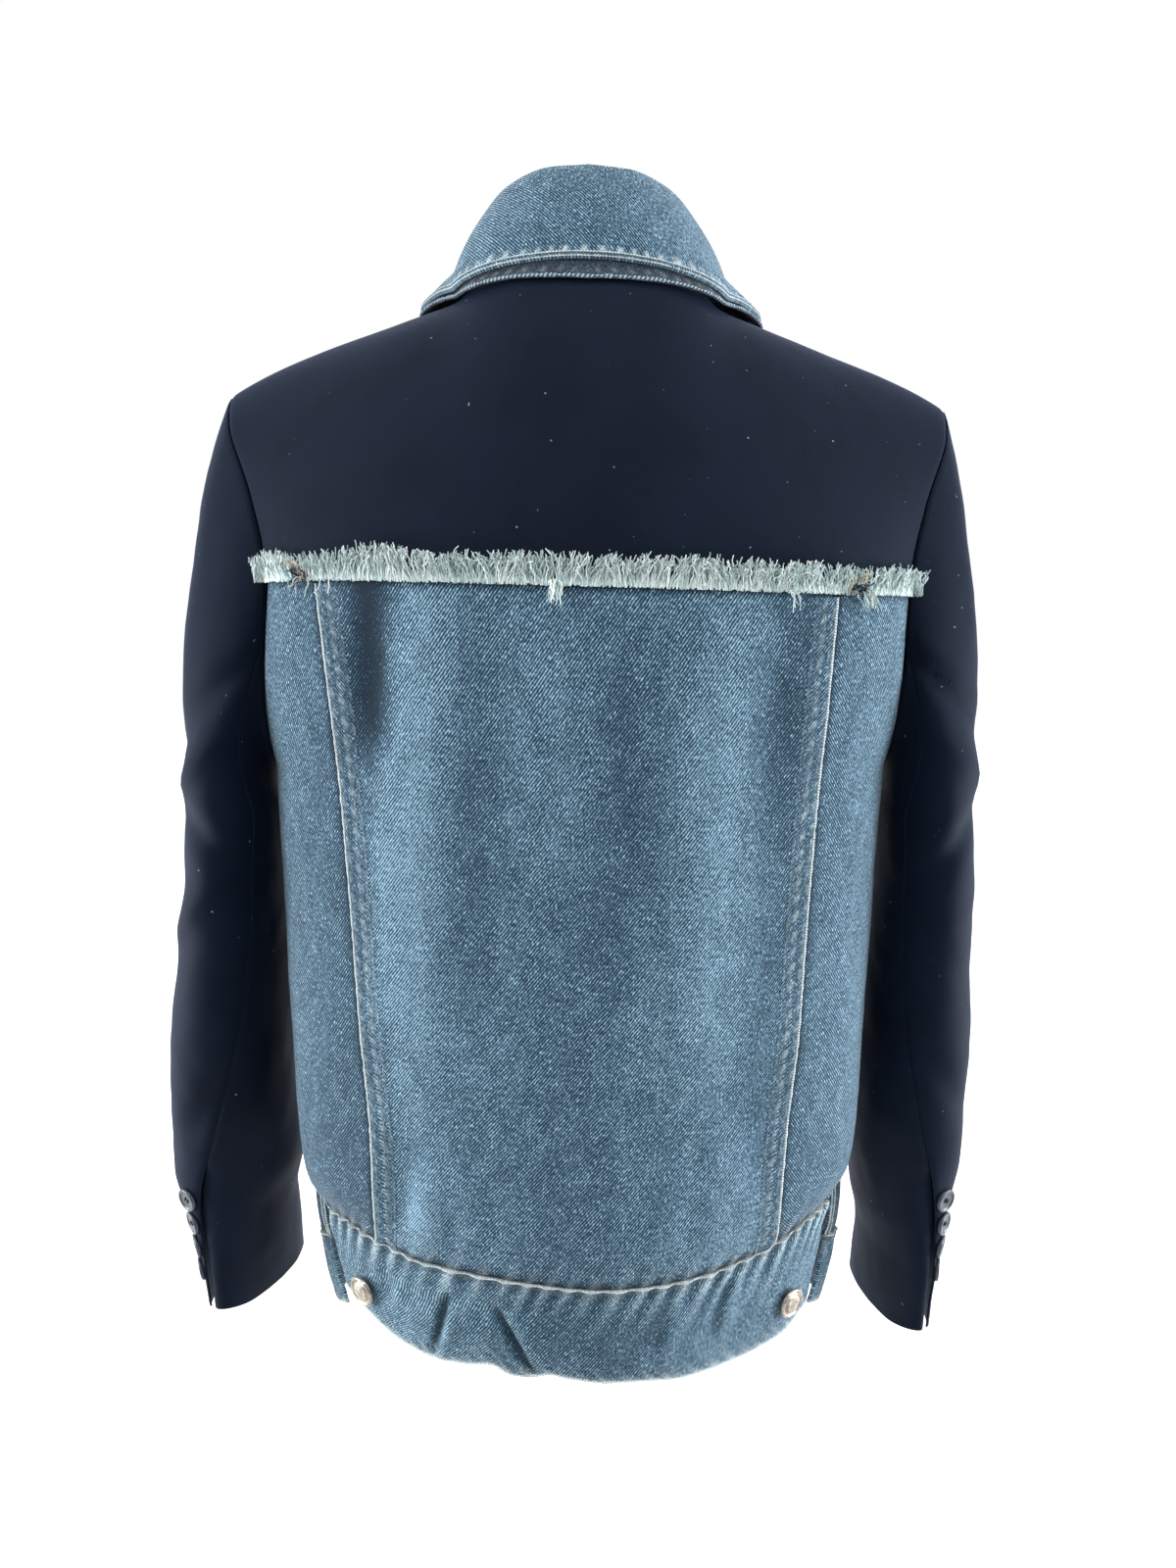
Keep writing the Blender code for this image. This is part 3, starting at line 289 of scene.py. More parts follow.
# Collar: turn round the neck from the middle of the back, then the top of the fold. The leaf's edge
# is given over the yokes: how far across, how far over the shoulder (1 is the shoulder line, past it
# the front yoke) and how high it stands off. reach is how far the under leaf runs on, part how far
# it hangs from the leaf.
collarRolls = Table(
    "turn foldX foldY foldZ across over lift reach part",
    (0, 0.000, 0.055, 0.0640, 0.0, 0.770, 0.0062, 1.27, 0.0003),
    (20, 0.0210, 0.052, 0.0630, 0.064, 0.779, 0.0062, 1.26, 0.0003),
    (40, 0.0410, 0.043, 0.0575, 0.140, 0.791, 0.0066, 1.22, 0.0004),
    (62, 0.0570, 0.025, 0.0465, 0.256, 0.818, 0.0078, 1.18, 0.0006),
    (76, 0.0632, 0.010, 0.0390, 0.370, 0.905, 0.0095, 1.13, 0.0014),
    (90, 0.0660, -0.008, 0.0300, 0.448, 1.060, 0.0105, 1.08, 0.0020),
    (120, 0.0590, -0.050, 0.0050, 0.450, 1.310, 0.0100, 1.05, 0.0012),
    (145, 0.0380, -0.078, -0.0160, 0.370, 1.540, 0.0080, 1.03, 0.0004),
    (165, 0.0140, -0.088, -0.0260, 0.190, 1.580, 0.0070, 1.02, 0.0003),
)

# Body folds: place across, top, bottom, lean towards +X going down, half width, depth, + is a ridge
backFolds = (
    (0.112, -0.160, -0.250, -0.004, 0.011, -0.0042),
    (0.086, -0.160, -0.420, 0.010, 0.020, 0.0030),
    (0.052, -0.170, -0.400, 0.008, 0.018, -0.0022),
    (0.012, -0.160, -0.330, -0.006, 0.020, 0.0020),
    (-0.030, -0.162, -0.380, 0.006, 0.018, -0.0025),
    (-0.070, -0.160, -0.450, 0.010, 0.020, 0.0026),
    (-0.104, -0.160, -0.300, 0.004, 0.013, -0.0028),
    (0.078, -0.470, -0.545, 0.014, 0.010, 0.0032),
    (0.098, -0.440, -0.545, 0.004, 0.012, -0.0030),
    (-0.085, -0.455, -0.545, -0.008, 0.014, 0.0024),
)
frontFolds = (
    (0.110, -0.160, -0.300, 0.010, 0.016, -0.0030),
    (0.070, -0.240, -0.480, -0.012, 0.020, 0.0026),
    (-0.112, -0.160, -0.320, -0.008, 0.016, -0.0030),
    (-0.072, -0.220, -0.470, 0.014, 0.022, 0.0026),
)

# Sleeve folds: angle, height, tilt in metres of height per degree, half angle, half height, depth
leftSleeveFolds = (
    (70, -0.225, 0.0006, 46, 0.011, -0.00510),
    (60, -0.262, 0.0005, 40, 0.010, 0.00442),
    (82, -0.300, -0.0004, 44, 0.012, -0.00544),
    (52, -0.352, 0.0005, 38, 0.013, 0.00374),
    (280, -0.330, 0.0006, 42, 0.012, -0.00544),
    (290, -0.372, -0.0005, 40, 0.012, -0.00442),
    (100, -0.470, 0.0007, 42, 0.018, -0.00374),
)
rightSleeveFolds = (
    (74, -0.215, 0.0006, 44, 0.011, -0.00510),
    (58, -0.258, 0.0004, 40, 0.011, 0.00408),
    (80, -0.305, -0.0005, 42, 0.012, -0.00510),
    (278, -0.325, 0.0006, 42, 0.012, -0.00544),
    (288, -0.370, -0.0005, 40, 0.012, -0.00408),
    (96, -0.445, 0.0006, 42, 0.018, -0.00340),
)


# Small helpers for curves
def power(value, exponent):
    return np.sign(value) * np.abs(value) ** exponent


def unit(vectors):
    return vectors / np.maximum(np.linalg.norm(vectors, axis=-1, keepdims=True), 1e-12)


def spread(value, centre, half):
    return np.exp(-(((value - centre) / half) ** 2))


def ease(value):
    share = np.clip(value, 0, 1)
    return share * share * (3 - 2 * share)


def point(x, y, z):
    return np.stack(np.broadcast_arrays(x, y, z), axis=-1).astype(float)


# The stance moves every point of the garment alike, so seams stay closed
def stand(points):
    moved = np.array(points, float)
    height = moved[..., 2].copy()
    tilt = ease((height - levels["underarm"]) / (levels["fringe"] - levels["underarm"]))
    moved[..., 0] += torsoRings("sway", height)
    moved[..., 2] += stance["tilt"] * np.clip(points[..., 0] / stance["tiltReach"], -1, 1) * tilt
    low = ease((stance["hemStart"] - height) / stance["hemFade"]) * ease(points[..., 1] / stance["hemBack"])
    reach = np.clip(np.abs(points[..., 0]) / stance["hemReach"], 0, 1)
    moved[..., 2] += stance["hemRise"] * low * reach**4
    return moved


# Body surface
def armhole(angle):
    turn = np.radians(angle)
    reach = np.where(np.sin(turn) > 0, armholeCut["back"], armholeCut["front"])
    tall = np.where(np.cos(turn) > 0, armholeCut["rise"], armholeCut["drop"])
    return point(
        armholeSeam("out", angle), reach * np.sin(turn), levels["fringe"] + tall * np.cos(turn)
    )


def ringShape(face, height):
    depth = torsoRings("backDepth" if face > 0 else "frontDepth", height)
    half = torsoRings("backHalf" if face > 0 else "frontHalf", height)
    square = torsoRings("squareness", height)
    angle = np.degrees(np.arccos(np.clip((height - levels["fringe"]) / armholeCut["drop"], -1, 1)))
    edge = armhole(angle if face > 0 else 360 - angle)
    above = height > levels["underarm"]
    stop = np.arccos(np.clip(np.abs(edge[..., 1]) / depth, 0, 1) ** (square / 2))
    stop = np.where(above, stop, math.pi / 2)
    wide = np.where(above, edge[..., 0] / np.sin(stop) ** (2 / square), half)
    return wide, depth, square, stop


# across is 0 in the middle and 1 at the side seam or armhole, and its sign gives the side
def ring(face, across, height):
    wide, depth, square, stop = ringShape(face, height)
    turn = stop * across
    x = wide * power(np.sin(turn), 2 / square)
    y = face * depth * power(np.cos(turn), 2 / square)
    return point(x, y, height)


def acrossAt(face, x, height):
    wide, depth, square, stop = ringShape(face, height)
    return np.sign(x) * np.arcsin(np.clip(np.abs(x) / wide, 0, 1) ** (square / 2)) / stop


def normals(surface, across, down, step=2e-4):
    one = surface(across + step, down) - surface(across - step, down)
    other = surface(across, down + step) - surface(across, down - step)
    return unit(np.cross(one, other))


def outward(face, vectors):
    return np.where(vectors[..., 1:2] * face < 0, -vectors, vectors)


# The direction away from the middle of the body, also where a front reaches behind the side
def ringFacing(face, across, height):
    spot = ring(face, across, height)
    facing = normals(lambda u, v: ring(face, u, v), across, height)
    inward = facing[..., 0] * spot[..., 0] + facing[..., 1] * spot[..., 1] < 0
    return np.where(inward[..., None], -facing, facing)


def foldHeight(folds, x, height):
    total = np.zeros(np.broadcast(x, height).shape)
    for place, top, bottom, lean, halfWidth, depth in folds:
        along = np.clip((top - height) / (top - bottom), 0, 1)
        inside = (height <= top) & (height >= bottom)
        offset = (x - place - lean * along) / halfWidth
        total = total + depth * np.exp(-offset**2) * np.sin(math.pi * along) ** 0.7 * inside
    return total


# Height of the folds on the body, also on bands and strips, so that they follow the panels
def bodyRelief(face, across, height):
    folds = backFolds if face > 0 else frontFolds
    return foldHeight(folds, ring(face, across, height)[..., 0], height)


def body(face, across, height, lift=0.0):
    facing = ringFacing(face, across, height)
    rise = lift + bodyRelief(face, across, height)
    return ring(face, across, height) + facing * np.asarray(rise)[..., None]


# The shoulder falls evenly from the neck and rounds off at its point
def shoulderFall(along):
    return neckCut["straight"] * along + (1 - neckCut["straight"]) * along**6


# Top edge of a yoke: the neckline up to neckCut["share"], then the shoulder line
def yokeTop(face, across):
    share = np.abs(across)
    turn = math.pi / 2 * np.clip(share / neckCut["share"], 0, 1)
    neckY, neckZ = (neckCut["backY"], neckCut["backZ"]) if face > 0 else (neckCut["frontY"], neckCut["frontZ"])
    slope = np.cos(turn) if face > 0 else np.cos(turn) ** 1.3
    neck = point(
        neckCut["halfWidth"] * np.sin(turn),
        neckCut["sideY"] + (neckY - neckCut["sideY"]) * np.cos(turn),
        neckCut["sideZ"] + (neckZ - neckCut["sideZ"]) * slope,
    )
    along = np.clip((share - neckCut["share"]) / (1 - neckCut["share"]), 0, 1)
    tip = armhole(np.array(0.0))
    shoulder = point(
        neckCut["halfWidth"] + (tip[0] - neckCut["halfWidth"]) * along,
        neckCut["sideY"] * (1 - along),
        neckCut["sideZ"] + (tip[2] - neckCut["sideZ"]) * shoulderFall(along),
    )
    top = np.where((share < neckCut["share"])[..., None], neck, shoulder)
    top[..., 0] *= np.sign(across) + (across == 0)
    return top


# An even line from the middle of the back neck to the shoulder point. Lower down the back heads for
# this line, so that the corner of the neck leaves no ridge.
def backGuide(across):
    tip = armhole(np.array(0.0))
    out = np.abs(across)
    return point(
        tip[0] * across,
        neckCut["backY"] * (1 - out**2) ** 3,
        neckCut["backZ"] + (tip[2] - neckCut["backZ"]) * out**yokeCut["guideBend"],
    )


# climb runs from 0 on the fringe line to 1 on the shoulder
def yoke(face, across, climb):
    across, climb = np.broadcast_arrays(np.asarray(across, float), np.asarray(climb, float))
    climb = np.clip(climb, 0, 1)
    foot = ring(face, across, levels["fringe"])
    top = yokeTop(face, across)
    if face > 0:
        top = top + (backGuide(across) - top) * (1 - climb[..., None] ** yokeCut["cornerFade"])
    turn = math.pi / 2 * climb
    loop = 90 - 90 * climb if face > 0 else 270 + 90 * climb
    start = armholeSeam("out", 90 if face > 0 else 270)
    end = armholeSeam("out", 0)
    spread = (armholeSeam("out", loop) - start) / (end - start)
    edge = np.abs(across) ** 3
    lean = yokeCut["lean"] + (1 - yokeCut["lean"]) * edge
    rise = yokeCut["climb"] + (1 - yokeCut["climb"]) * edge
    x = foot[..., 0] + (top[..., 0] - foot[..., 0]) * spread
    y = top[..., 1] + (foot[..., 1] - top[..., 1]) * np.cos(turn).clip(0) ** lean
    z = foot[..., 2] + (top[..., 2] - foot[..., 2]) * np.sin(turn) ** rise
    return point(x, y, z)


# Sleeve surface
def sleeveSection(table, angle, height):
    turn = np.radians(angle)
    return point(
        table("out", height)
        + table("halfWidth", height) * np.cos(turn)
        + table("skew", height) * np.sin(turn),
        table("forward", height) + table("halfDepth", height) * np.sin(turn),
        height,
    )


# down runs from 0 to 1 over the sleeve cap and from 1 to 2 on to the cuff
def sleeve(name, angle, down):
    table, folds = sleeves[name]
    angle, down = np.broadcast_arrays(np.asarray(angle, float), np.asarray(down, float))
    angle = np.mod(angle, 360)
    cuff = table.along[0]
    head = armhole(angle) + point(cloths["seamGap"], 0, 0)
    foot = sleeveSection(table, angle, np.full(angle.shape, levels["capEnd"]))
    reach = np.linalg.norm(foot - head, axis=-1, keepdims=True)
    leave = unit(
        point(
            sleeveStart(name + "Out", angle),
            sleeveStart("back", angle),
            sleeveStart("up", angle),
        )
    )
    arrive = point(0, 0, -1) + 0 * head
    share = np.clip(down, 0, 1)[..., None]
    cap = (
        head * (1 + 2 * share) * (1 - share) ** 2
        + foot * share**2 * (3 - 2 * share)
        + leave * reach * share * (1 - share) ** 2
        - arrive * reach * share**2 * (1 - share)
    )
    height = levels["capEnd"] + (cuff - levels["capEnd"]) * np.clip(down - 1, 0, 1)
    arm = sleeveSection(table, angle, height)
    plain = np.where((down < 1)[..., None], cap, arm)
    centre = point(table("out", plain[..., 2]), table("forward", plain[..., 2]), plain[..., 2])
    facing = unit(plain - centre)
    relief = np.zeros(angle.shape)
    for place, level, tilt, halfAngle, halfHeight, depth in folds:
        turn = (angle - place + 180) % 360 - 180
        rise = (plain[..., 2] - level - tilt * turn) / halfHeight
        relief = relief + depth * np.exp(-((turn / halfAngle) ** 2) - rise**2)
    return plain + facing * relief[..., None]


sleeves = {"left": (leftSleeve, leftSleeveFolds), "right": (rightSleeve, rightSleeveFolds)}


# Collar
def overShoulder(across, over):
    return np.where(
        (over <= 1)[..., None], yoke(1, across, over), yoke(-1, across, np.clip(2 - over, 0, 1))
    )


def foldLine(size):
    return point(collarRolls("foldX", size), collarRolls("foldY", size), collarRolls("foldZ", size))


def handed(turn):
    return np.where(turn < 0, -collarCut["rightWide"], collarCut["leftWide"])


# The leaf falls from the fold, share 0, to its edge over the yokes, share 1. The under leaf runs on
# past that edge.
def leafSurface(turn, share):
    size = np.abs(turn)
    fold = foldLine(size)
    inside = np.clip(share, 0, 1)
    spring = collarCut["spring"] * 4 * inside * (1 - inside)
    surface = leafOverYoke(size, share, collarRolls("lift", size) * inside + spring)
    surface = surface + (fold - neckline(size)) * (1 - inside[..., None])
    edge = leafOverYoke(size, np.ones_like(share), collarRolls("lift", size))
    bulge = collarCut["frontSpring"] * spring
    straight = fold + (edge - fold) * share[..., None] + point(0, -bulge, bulge)
    front = ease((size - collarCut["frontTurn"]) / collarCut["frontReach"])
    surface = surface + (straight - surface) * front[..., None]
    surface[..., 0] *= handed(turn)
    return surface


# A point of the leaf that lies over the yokes, so high above them
def leafOverYoke(size, share, lift):
    rootAcross = np.where(size < 90, size / 90, (180 - size) / 90) * neckCut["share"]
    across = rootAcross + (collarRolls("across", size) - rootAcross) * share
    over = 1 + (collarRolls("over", size) - 1) * share
    over = np.where(size < 90, np.minimum(over, 1), np.maximum(over, 1.0001))
    facing = unit(normals(overShoulder, across, over, 0.01))
    facing = np.where(facing[..., 2:3] < 0, -facing, facing)
    return overShoulder(across, over) + facing * lift[..., None]


# The direction away from the leaf, evened out along the fold
def leafFacing(turn, share):
    share = np.maximum(share, 0.06)
    total = 0
    for nearby in (turn - collarCut["facingReach"], turn, turn + collarCut["facingReach"]):
        one = leafSurface(nearby + 1, share) - leafSurface(nearby - 1, share)
        other = leafSurface(nearby, share + 0.02) - leafSurface(nearby, share - 0.02)
        facing = unit(np.cross(one, other))
        total = total + np.where(facing[..., 2:3] < 0, -facing, facing)
    return unit(total)


# The neckline of the yokes, as a function of the same turn
def neckline(turn):
    size = np.abs(turn)
    share = np.where(size < 90, size / 90, (180 - size) / 90) * neckCut["share"]
    side = np.where(turn < 0, -1, 1)
    return np.where((size < 90)[..., None], yokeTop(1, share * side), yokeTop(-1, share * side))


print("stage: materials")

# Denim is a twill of blue warp over white weft: pale flecks along steep diagonal ribs, paler where
# washing and wear have rubbed the folds, dull, with a faint nap.
denimLook = {
    "ribPitch": 0.0018,  # real ribs are 1.3 mm apart, drawn a little coarser so that they show
    "grain": 0.32, "rib": 0.40, "fleckLength": 0.0021, "fleckWidth": 0.0012, "fleck": 0.41,
    "speck": 0.50, "slub": 0.09, "washSize": 0.045, "bump": 0.00025,
}


def washedDenim(name, dark, mid, light, pale, lean=0.8, wash=0.04):
    material, tree, shader = newMaterial(name)
    flat = addNode(tree, "UVMap", uv_map="flat")
    place = addNode(tree, "TexCoord", out="Object")
    across = addNode(tree, "SeparateXYZ", (flat,))
    # ribs follow the lines of equal across - lean * down, and wander a little
    ribs = addNode(tree, "Math", (across.node.outputs["Y"], -lean, across), operation="MULTIPLY_ADD")
    phase = addNode(tree, "Math", (ribs, 2 * math.pi / denimLook["ribPitch"]), operation="MULTIPLY")
    wander = addNode(tree, "TexNoise", {"Vector": flat, "Scale": 150.0, "Detail": 1.0})
    phase = addNode(tree, "Math", (wander, 2.2, phase), operation="MULTIPLY_ADD")
    rib = addNode(tree, "Math", (phase,), operation="SINE")
    # flecks of weft, drawn out along the warp
    cells = (1 / denimLook["fleckWidth"], 1 / denimLook["fleckLength"], 0.0)
    cells = addNode(tree, "VectorMath", (flat, cells), operation="MULTIPLY")
    fleck = addNode(tree, "TexNoise", {"Vector": cells, "Scale": 1.0, "Detail": 3.0, "Roughness": 0.65})
    slub = addNode(tree, "TexNoise", {"Vector": cells, "W": 2.1, "Scale": 0.16}, noise_dimensions="4D")
    speck = addNode(tree, "TexNoise", {"Vector": cells, "W": 7.3, "Scale": 0.95, "Detail": 0.0},
                    noise_dimensions="4D")
    cloud = addNode(tree, "TexNoise", {
        "Vector": place, "Scale": 1 / denimLook["washSize"], "Detail": 4.0, "Roughness": 0.6,
    })
    # tone from 0, dark warp, to 1, pale weft
    tone = addNode(tree, "Math", (rib, denimLook["rib"], denimLook["grain"]), operation="MULTIPLY_ADD")
    for source, low, high, least, most in (
        (fleck, 0.30, 0.70, -denimLook["fleck"], denimLook["fleck"]),
        (slub, 0.30, 0.70, -denimLook["slub"], denimLook["slub"]),
        (cloud, 0.30, 0.70, -wash, wash),
        (speck, 0.62, 0.76, 0, denimLook["speck"]),
    ):
        part = addNode(tree, "MapRange", (source, low, high, least, most), clamp=least == 0)
        tone = addNode(tree, "Math", (tone, part), operation="ADD")
    # fade shifts the tone: painted shade in folds, creases and beside seams, painted light on ridges, and some
    # real washed lengths
    paintedShadeAndWash = addNode(tree, "Attribute", out="Fac", attribute_name="fade")
    tone = addNode(tree, "Math", (tone, paintedShadeAndWash), operation="ADD")
    ramp = addNode(tree, "ValToRGB", (tone,))
    stops = ramp.node.color_ramp.elements
    stops[0].color, stops[1].color = linear(dark), linear(light)
    stops.new(0.5).color = linear(mid)
    # rubbed places: the wear attribute, broken up by the yarns
    worn = addNode(tree, "Attribute", out="Fac", attribute_name="wear")
    broken = addNode(tree, "MapRange", (fleck, 0.30, 0.66, 0.25, 1.15))
    rubbed = addNode(tree, "Math", (worn, broken), operation="MULTIPLY", use_clamp=True)
    colour = addNode(tree, "Mix", {"Factor": rubbed, "A": ramp, "B": linear(pale)}, "Result",
                     data_type="RGBA")
    relief = addNode(tree, "Math", (rib, 0.45, fleck), operation="MULTIPLY_ADD")
    bump = addNode(tree, "Bump", {"Height": relief, "Strength": 0.55, "Distance": denimLook["bump"]})
    setInputs(shader, {"Base Color": colour, "Normal": bump, "Roughness": 0.88, "Sheen Weight": 0.12,
                       "Sheen Roughness": 0.5, "Specular IOR Level": 0.25})
    return material


# Worsted suiting: a fine smooth twill, near black indoors, with a soft sheen where it turns away
suitingLook = {
    "ribPitch": 0.0007, "bump": 0.00006, "sheen": 0.16, "sheenTint": "#6d8bc2", "gloss": "#b3c6e8",
    "lint": 0.872, "lintScale": 420.0, "lintColour": "#6f7d94",
}


def suiting(name, dark, light):
    material, tree, shader = newMaterial(name)
    flat = addNode(tree, "UVMap", uv_map="flat")
    place = addNode(tree, "TexCoord", out="Object")
    across = addNode(tree, "SeparateXYZ", (flat,))
    ribs = addNode(tree, "Math", (across, across.node.outputs["Y"]), operation="SUBTRACT")
    turns = 2 * math.pi / (suitingLook["ribPitch"] * math.sqrt(2))
    phase = addNode(tree, "Math", (ribs, turns), operation="MULTIPLY")
    rib = addNode(tree, "Math", (phase,), operation="SINE")
    cloud = addNode(tree, "TexNoise", {"Vector": place, "Scale": 22.0, "Detail": 3.0})
    hair = addNode(tree, "TexNoise", {"Vector": flat, "Scale": 1500.0, "Detail": 2.0})
    tone = addNode(tree, "Math", (rib, 0.12, cloud), operation="MULTIPLY_ADD")
    tone = addNode(tree, "Math", (hair, 0.5, tone), operation="MULTIPLY_ADD")
    span = addNode(tree, "MapRange", (tone, 0.4, 1.1))
    colour = addNode(tree, "Mix", {"Factor": span, "A": linear(dark), "B": linear(light)}, "Result",
                     data_type="RGBA")
    # a few pale specks of lint
    dust = addNode(tree, "TexNoise", {"Vector": place, "Scale": suitingLook["lintScale"], "Detail": 0.0})
    dust = addNode(tree, "MapRange", (dust, suitingLook["lint"], suitingLook["lint"] + 0.02))
    pale = linear(suitingLook["lintColour"])
    colour = addNode(tree, "Mix", {"Factor": dust, "A": colour, "B": pale}, "Result", data_type="RGBA")
    relief = addNode(tree, "Math", (rib, 0.5, hair), operation="MULTIPLY_ADD")
    bump = addNode(tree, "Bump", {"Height": relief, "Strength": 0.4, "Distance": suitingLook["bump"]})
    setInputs(shader, {
        "Base Color": colour, "Normal": bump, "Roughness": 0.70, "Specular IOR Level": 0.16,
        "Specular Tint": linear(suitingLook["gloss"]), "Sheen Weight": suitingLook["sheen"],
        "Sheen Roughness": 0.38, "Sheen Tint": linear(suitingLook["sheenTint"]),
    })
    return material


# Sewing and raw yarns: dull cotton, twisted, so the colour runs in short slanting bars
def cottonYarn(name, dark, light, bars=0.0, barPitch=0.0016):
    material, tree, shader = newMaterial(name)
    place = addNode(tree, "TexCoord", out="Object")
    speckle = addNode(tree, "TexNoise", {"Vector": place, "Scale": 900.0, "Detail": 2.0})
    shade, along, around = (addNode(tree, "Attribute", out="Fac", attribute_name=label)
                            for label in ("shade", "along", "around"))
    tone = addNode(tree, "Math", (speckle, 0.7, shade), operation="MULTIPLY_ADD")
    if bars:
        turn = addNode(tree, "Math", (along, 1 / barPitch, around), operation="MULTIPLY_ADD")
        turn = addNode(tree, "Math", (turn, 2 * math.pi), operation="MULTIPLY")
        wave = addNode(tree, "Math", (turn,), operation="SINE")
        tone = addNode(tree, "Math", (wave, bars, tone), operation="MULTIPLY_ADD")
    span = addNode(tree, "MapRange", (tone, 0.1, 0.95))
    colour = addNode(tree, "Mix", {"Factor": span, "A": linear(dark), "B": linear(light)}, "Result",
                     data_type="RGBA")
    setInputs(shader, {"Base Color": colour, "Roughness": 0.9, "Specular IOR Level": 0.2})
    return material


# A button's surface: clouded between two colours, with a shallow relief to match
def buttonFinish(name, dull, bright, texture, span, strength, looks):
    material, tree, shader = newMaterial(name)
    cloud = addNode(tree, "TexNoise", {"Vector": addNode(tree, "TexCoord", out="Object"), **texture})
    part = addNode(tree, "MapRange", (cloud, *span))
    colour = addNode(tree, "Mix", {"Factor": part, "A": linear(dull), "B": linear(bright)}, "Result",
                     data_type="RGBA")
    bump = addNode(tree, "Bump", {"Height": cloud, "Strength": strength, "Distance": 0.0001})
    setInputs(shader, {"Base Color": colour, "Normal": bump, **looks})
    return material


bodyDenim = washedDenim("washed denim, three by one twill", "#0c2333", "#42647b", "#9cc0d6", "#c3d0d2")
bandDenim = washedDenim("washed denim waistband", "#0e2836", "#476a81", "#9fc1d5", "#ccd7d8", wash=0.09)
collarDenim = washedDenim("washed denim collar", "#102839", "#476a80", "#9cbfd5", "#cdd8d9", lean=-0.8)
# the under leaf's darkest tones are painted shade under the upper leaf's edge
indigoDenim = washedDenim("dark denim under leaf", "#0a121c", "#1d2f3e", "#547085", "#b7c3c4", wash=0.25)
# drawn dark: painted shade where the wrong side shows, inside the slits
shadedDenimBack = washedDenim("wrong side of denim", "#15232e", "#364a58", "#6d828f", "#8d9ca3", lean=-0.8)
navyCloth = suiting("navy worsted suiting", "#080e19", "#0f1827")
navyBack = suiting("wrong side of suiting", "#060a12", "#0c121d")
fringeYarn = cottonYarn("raw weft yarn", "#9db3b5", "#f9fffd")
creamYarn = cottonYarn("raw cream yarn", "#c4b69f", "#f2e8d8")
indigoYarn = cottonYarn("dyed warp yarn", "#182a3c", "#54728c")
blueThread = cottonYarn("blue sewing thread", "#33516c", "#7fa0ba")
navyThread = cottonYarn("navy sewing thread", "#0d1420", "#2a3a4c")
paleEdge = cottonYarn("rubbed denim edge", "#8fa5b1", "#f7f8f4", bars=0.35)
blueEdge = cottonYarn("half rubbed denim edge", "#33506a", "#c3cfd3", bars=0.42, barPitch=0.0024)
silver = buttonFinish("worn silver plate", "#8d857a", "#cfc8bc", {"Scale": 420.0, "Detail": 4.0},
                      (0.35, 0.7), 0.25, {"Metallic": 0.9, "Roughness": 0.42})
navyButton = buttonFinish(
    "navy moulded button", "#232a35", "#3b4552", {"Scale": 160.0, "Detail": 3.0, "Distortion": 1.5},
    (0.0, 1.0), 0.15, {"Roughness": 0.38, "Coat Weight": 0.15})

print("stage: cloth walls")
pieces, sheetFacts, sewnOn = {}, [], {}  # all pieces, what each cloth measures, what each carries
# A cloth's right side, wrong side and the name of its cloth
denimFaces = bodyDenim, shadedDenimBack, "washed_denim"
bandFaces = bandDenim, shadedDenimBack, "washed_denim"
collarFaces = collarDenim, shadedDenimBack, "washed_denim"
standFaces = collarDenim, collarDenim, "washed_denim"
indigoFaces = indigoDenim, indigoDenim, "dark_denim"
tapeFaces = bodyDenim, shadedDenimBack, "frayed_thread"
suitingFaces = navyCloth, navyBack, "navy_suiting"


# Even steps, with narrow ones at each end so that the rim rounds over close to the edge
def stepsAlong(start, stop, pitch, edge=0.0007):
    count = max(2, round(abs(stop - start) / pitch))
    even = np.linspace(start, stop, count + 1)
    near = math.copysign(edge, stop - start) * np.array([1.0, 2.4] if pitch > 3.4 * edge else [1.0])
    return np.concatenate([[start], start + near, even[1:-1], stop - near[::-1], [stop]])


def shares(width, pitch):
    return stepsAlong(0, width, pitch) / width


def softNoise(points, size, seed):
    offset = Vector((seed * 3.7, seed * 1.3, seed * 7.1))
    flat = (points / size).reshape(-1, 3)
    return np.array([noise.noise(Vector(p) + offset) for p in flat]).reshape(points.shape[:-1])


def lengthsOf(points):
    steps = np.linalg.norm(np.diff(points, axis=1), axis=2)
    across = np.concatenate([np.zeros((len(points), 1)), np.cumsum(steps, axis=1)], axis=1)
    steps = np.linalg.norm(np.diff(points, axis=0), axis=2)
    down = np.concatenate([np.zeros((1, points.shape[1])), np.cumsum(steps, axis=0)])
    return across, down


def keepPiece(piece):
    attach(piece, "root")
    pieces[piece.name] = piece


def newPiece(name, vertices, faces, finishes):
    mesh = bpy.data.meshes.new(name)
    mesh.from_pydata(vertices, [], faces)
    for finish in finishes:
        mesh.materials.append(finish)
    piece = newObject(name, mesh)
    mesh.shade_smooth()
    keepPiece(piece)
    return piece


# Thread pulls the cloth in beside a seam, and shade is painted darker into the groove it makes
seamPull = {"depth": 0.00080, "reach": 0.0018, "dark": 0.60, "darkReach": 0.0030}
foldedEdge = {"swell": 0.42, "rows": 3}
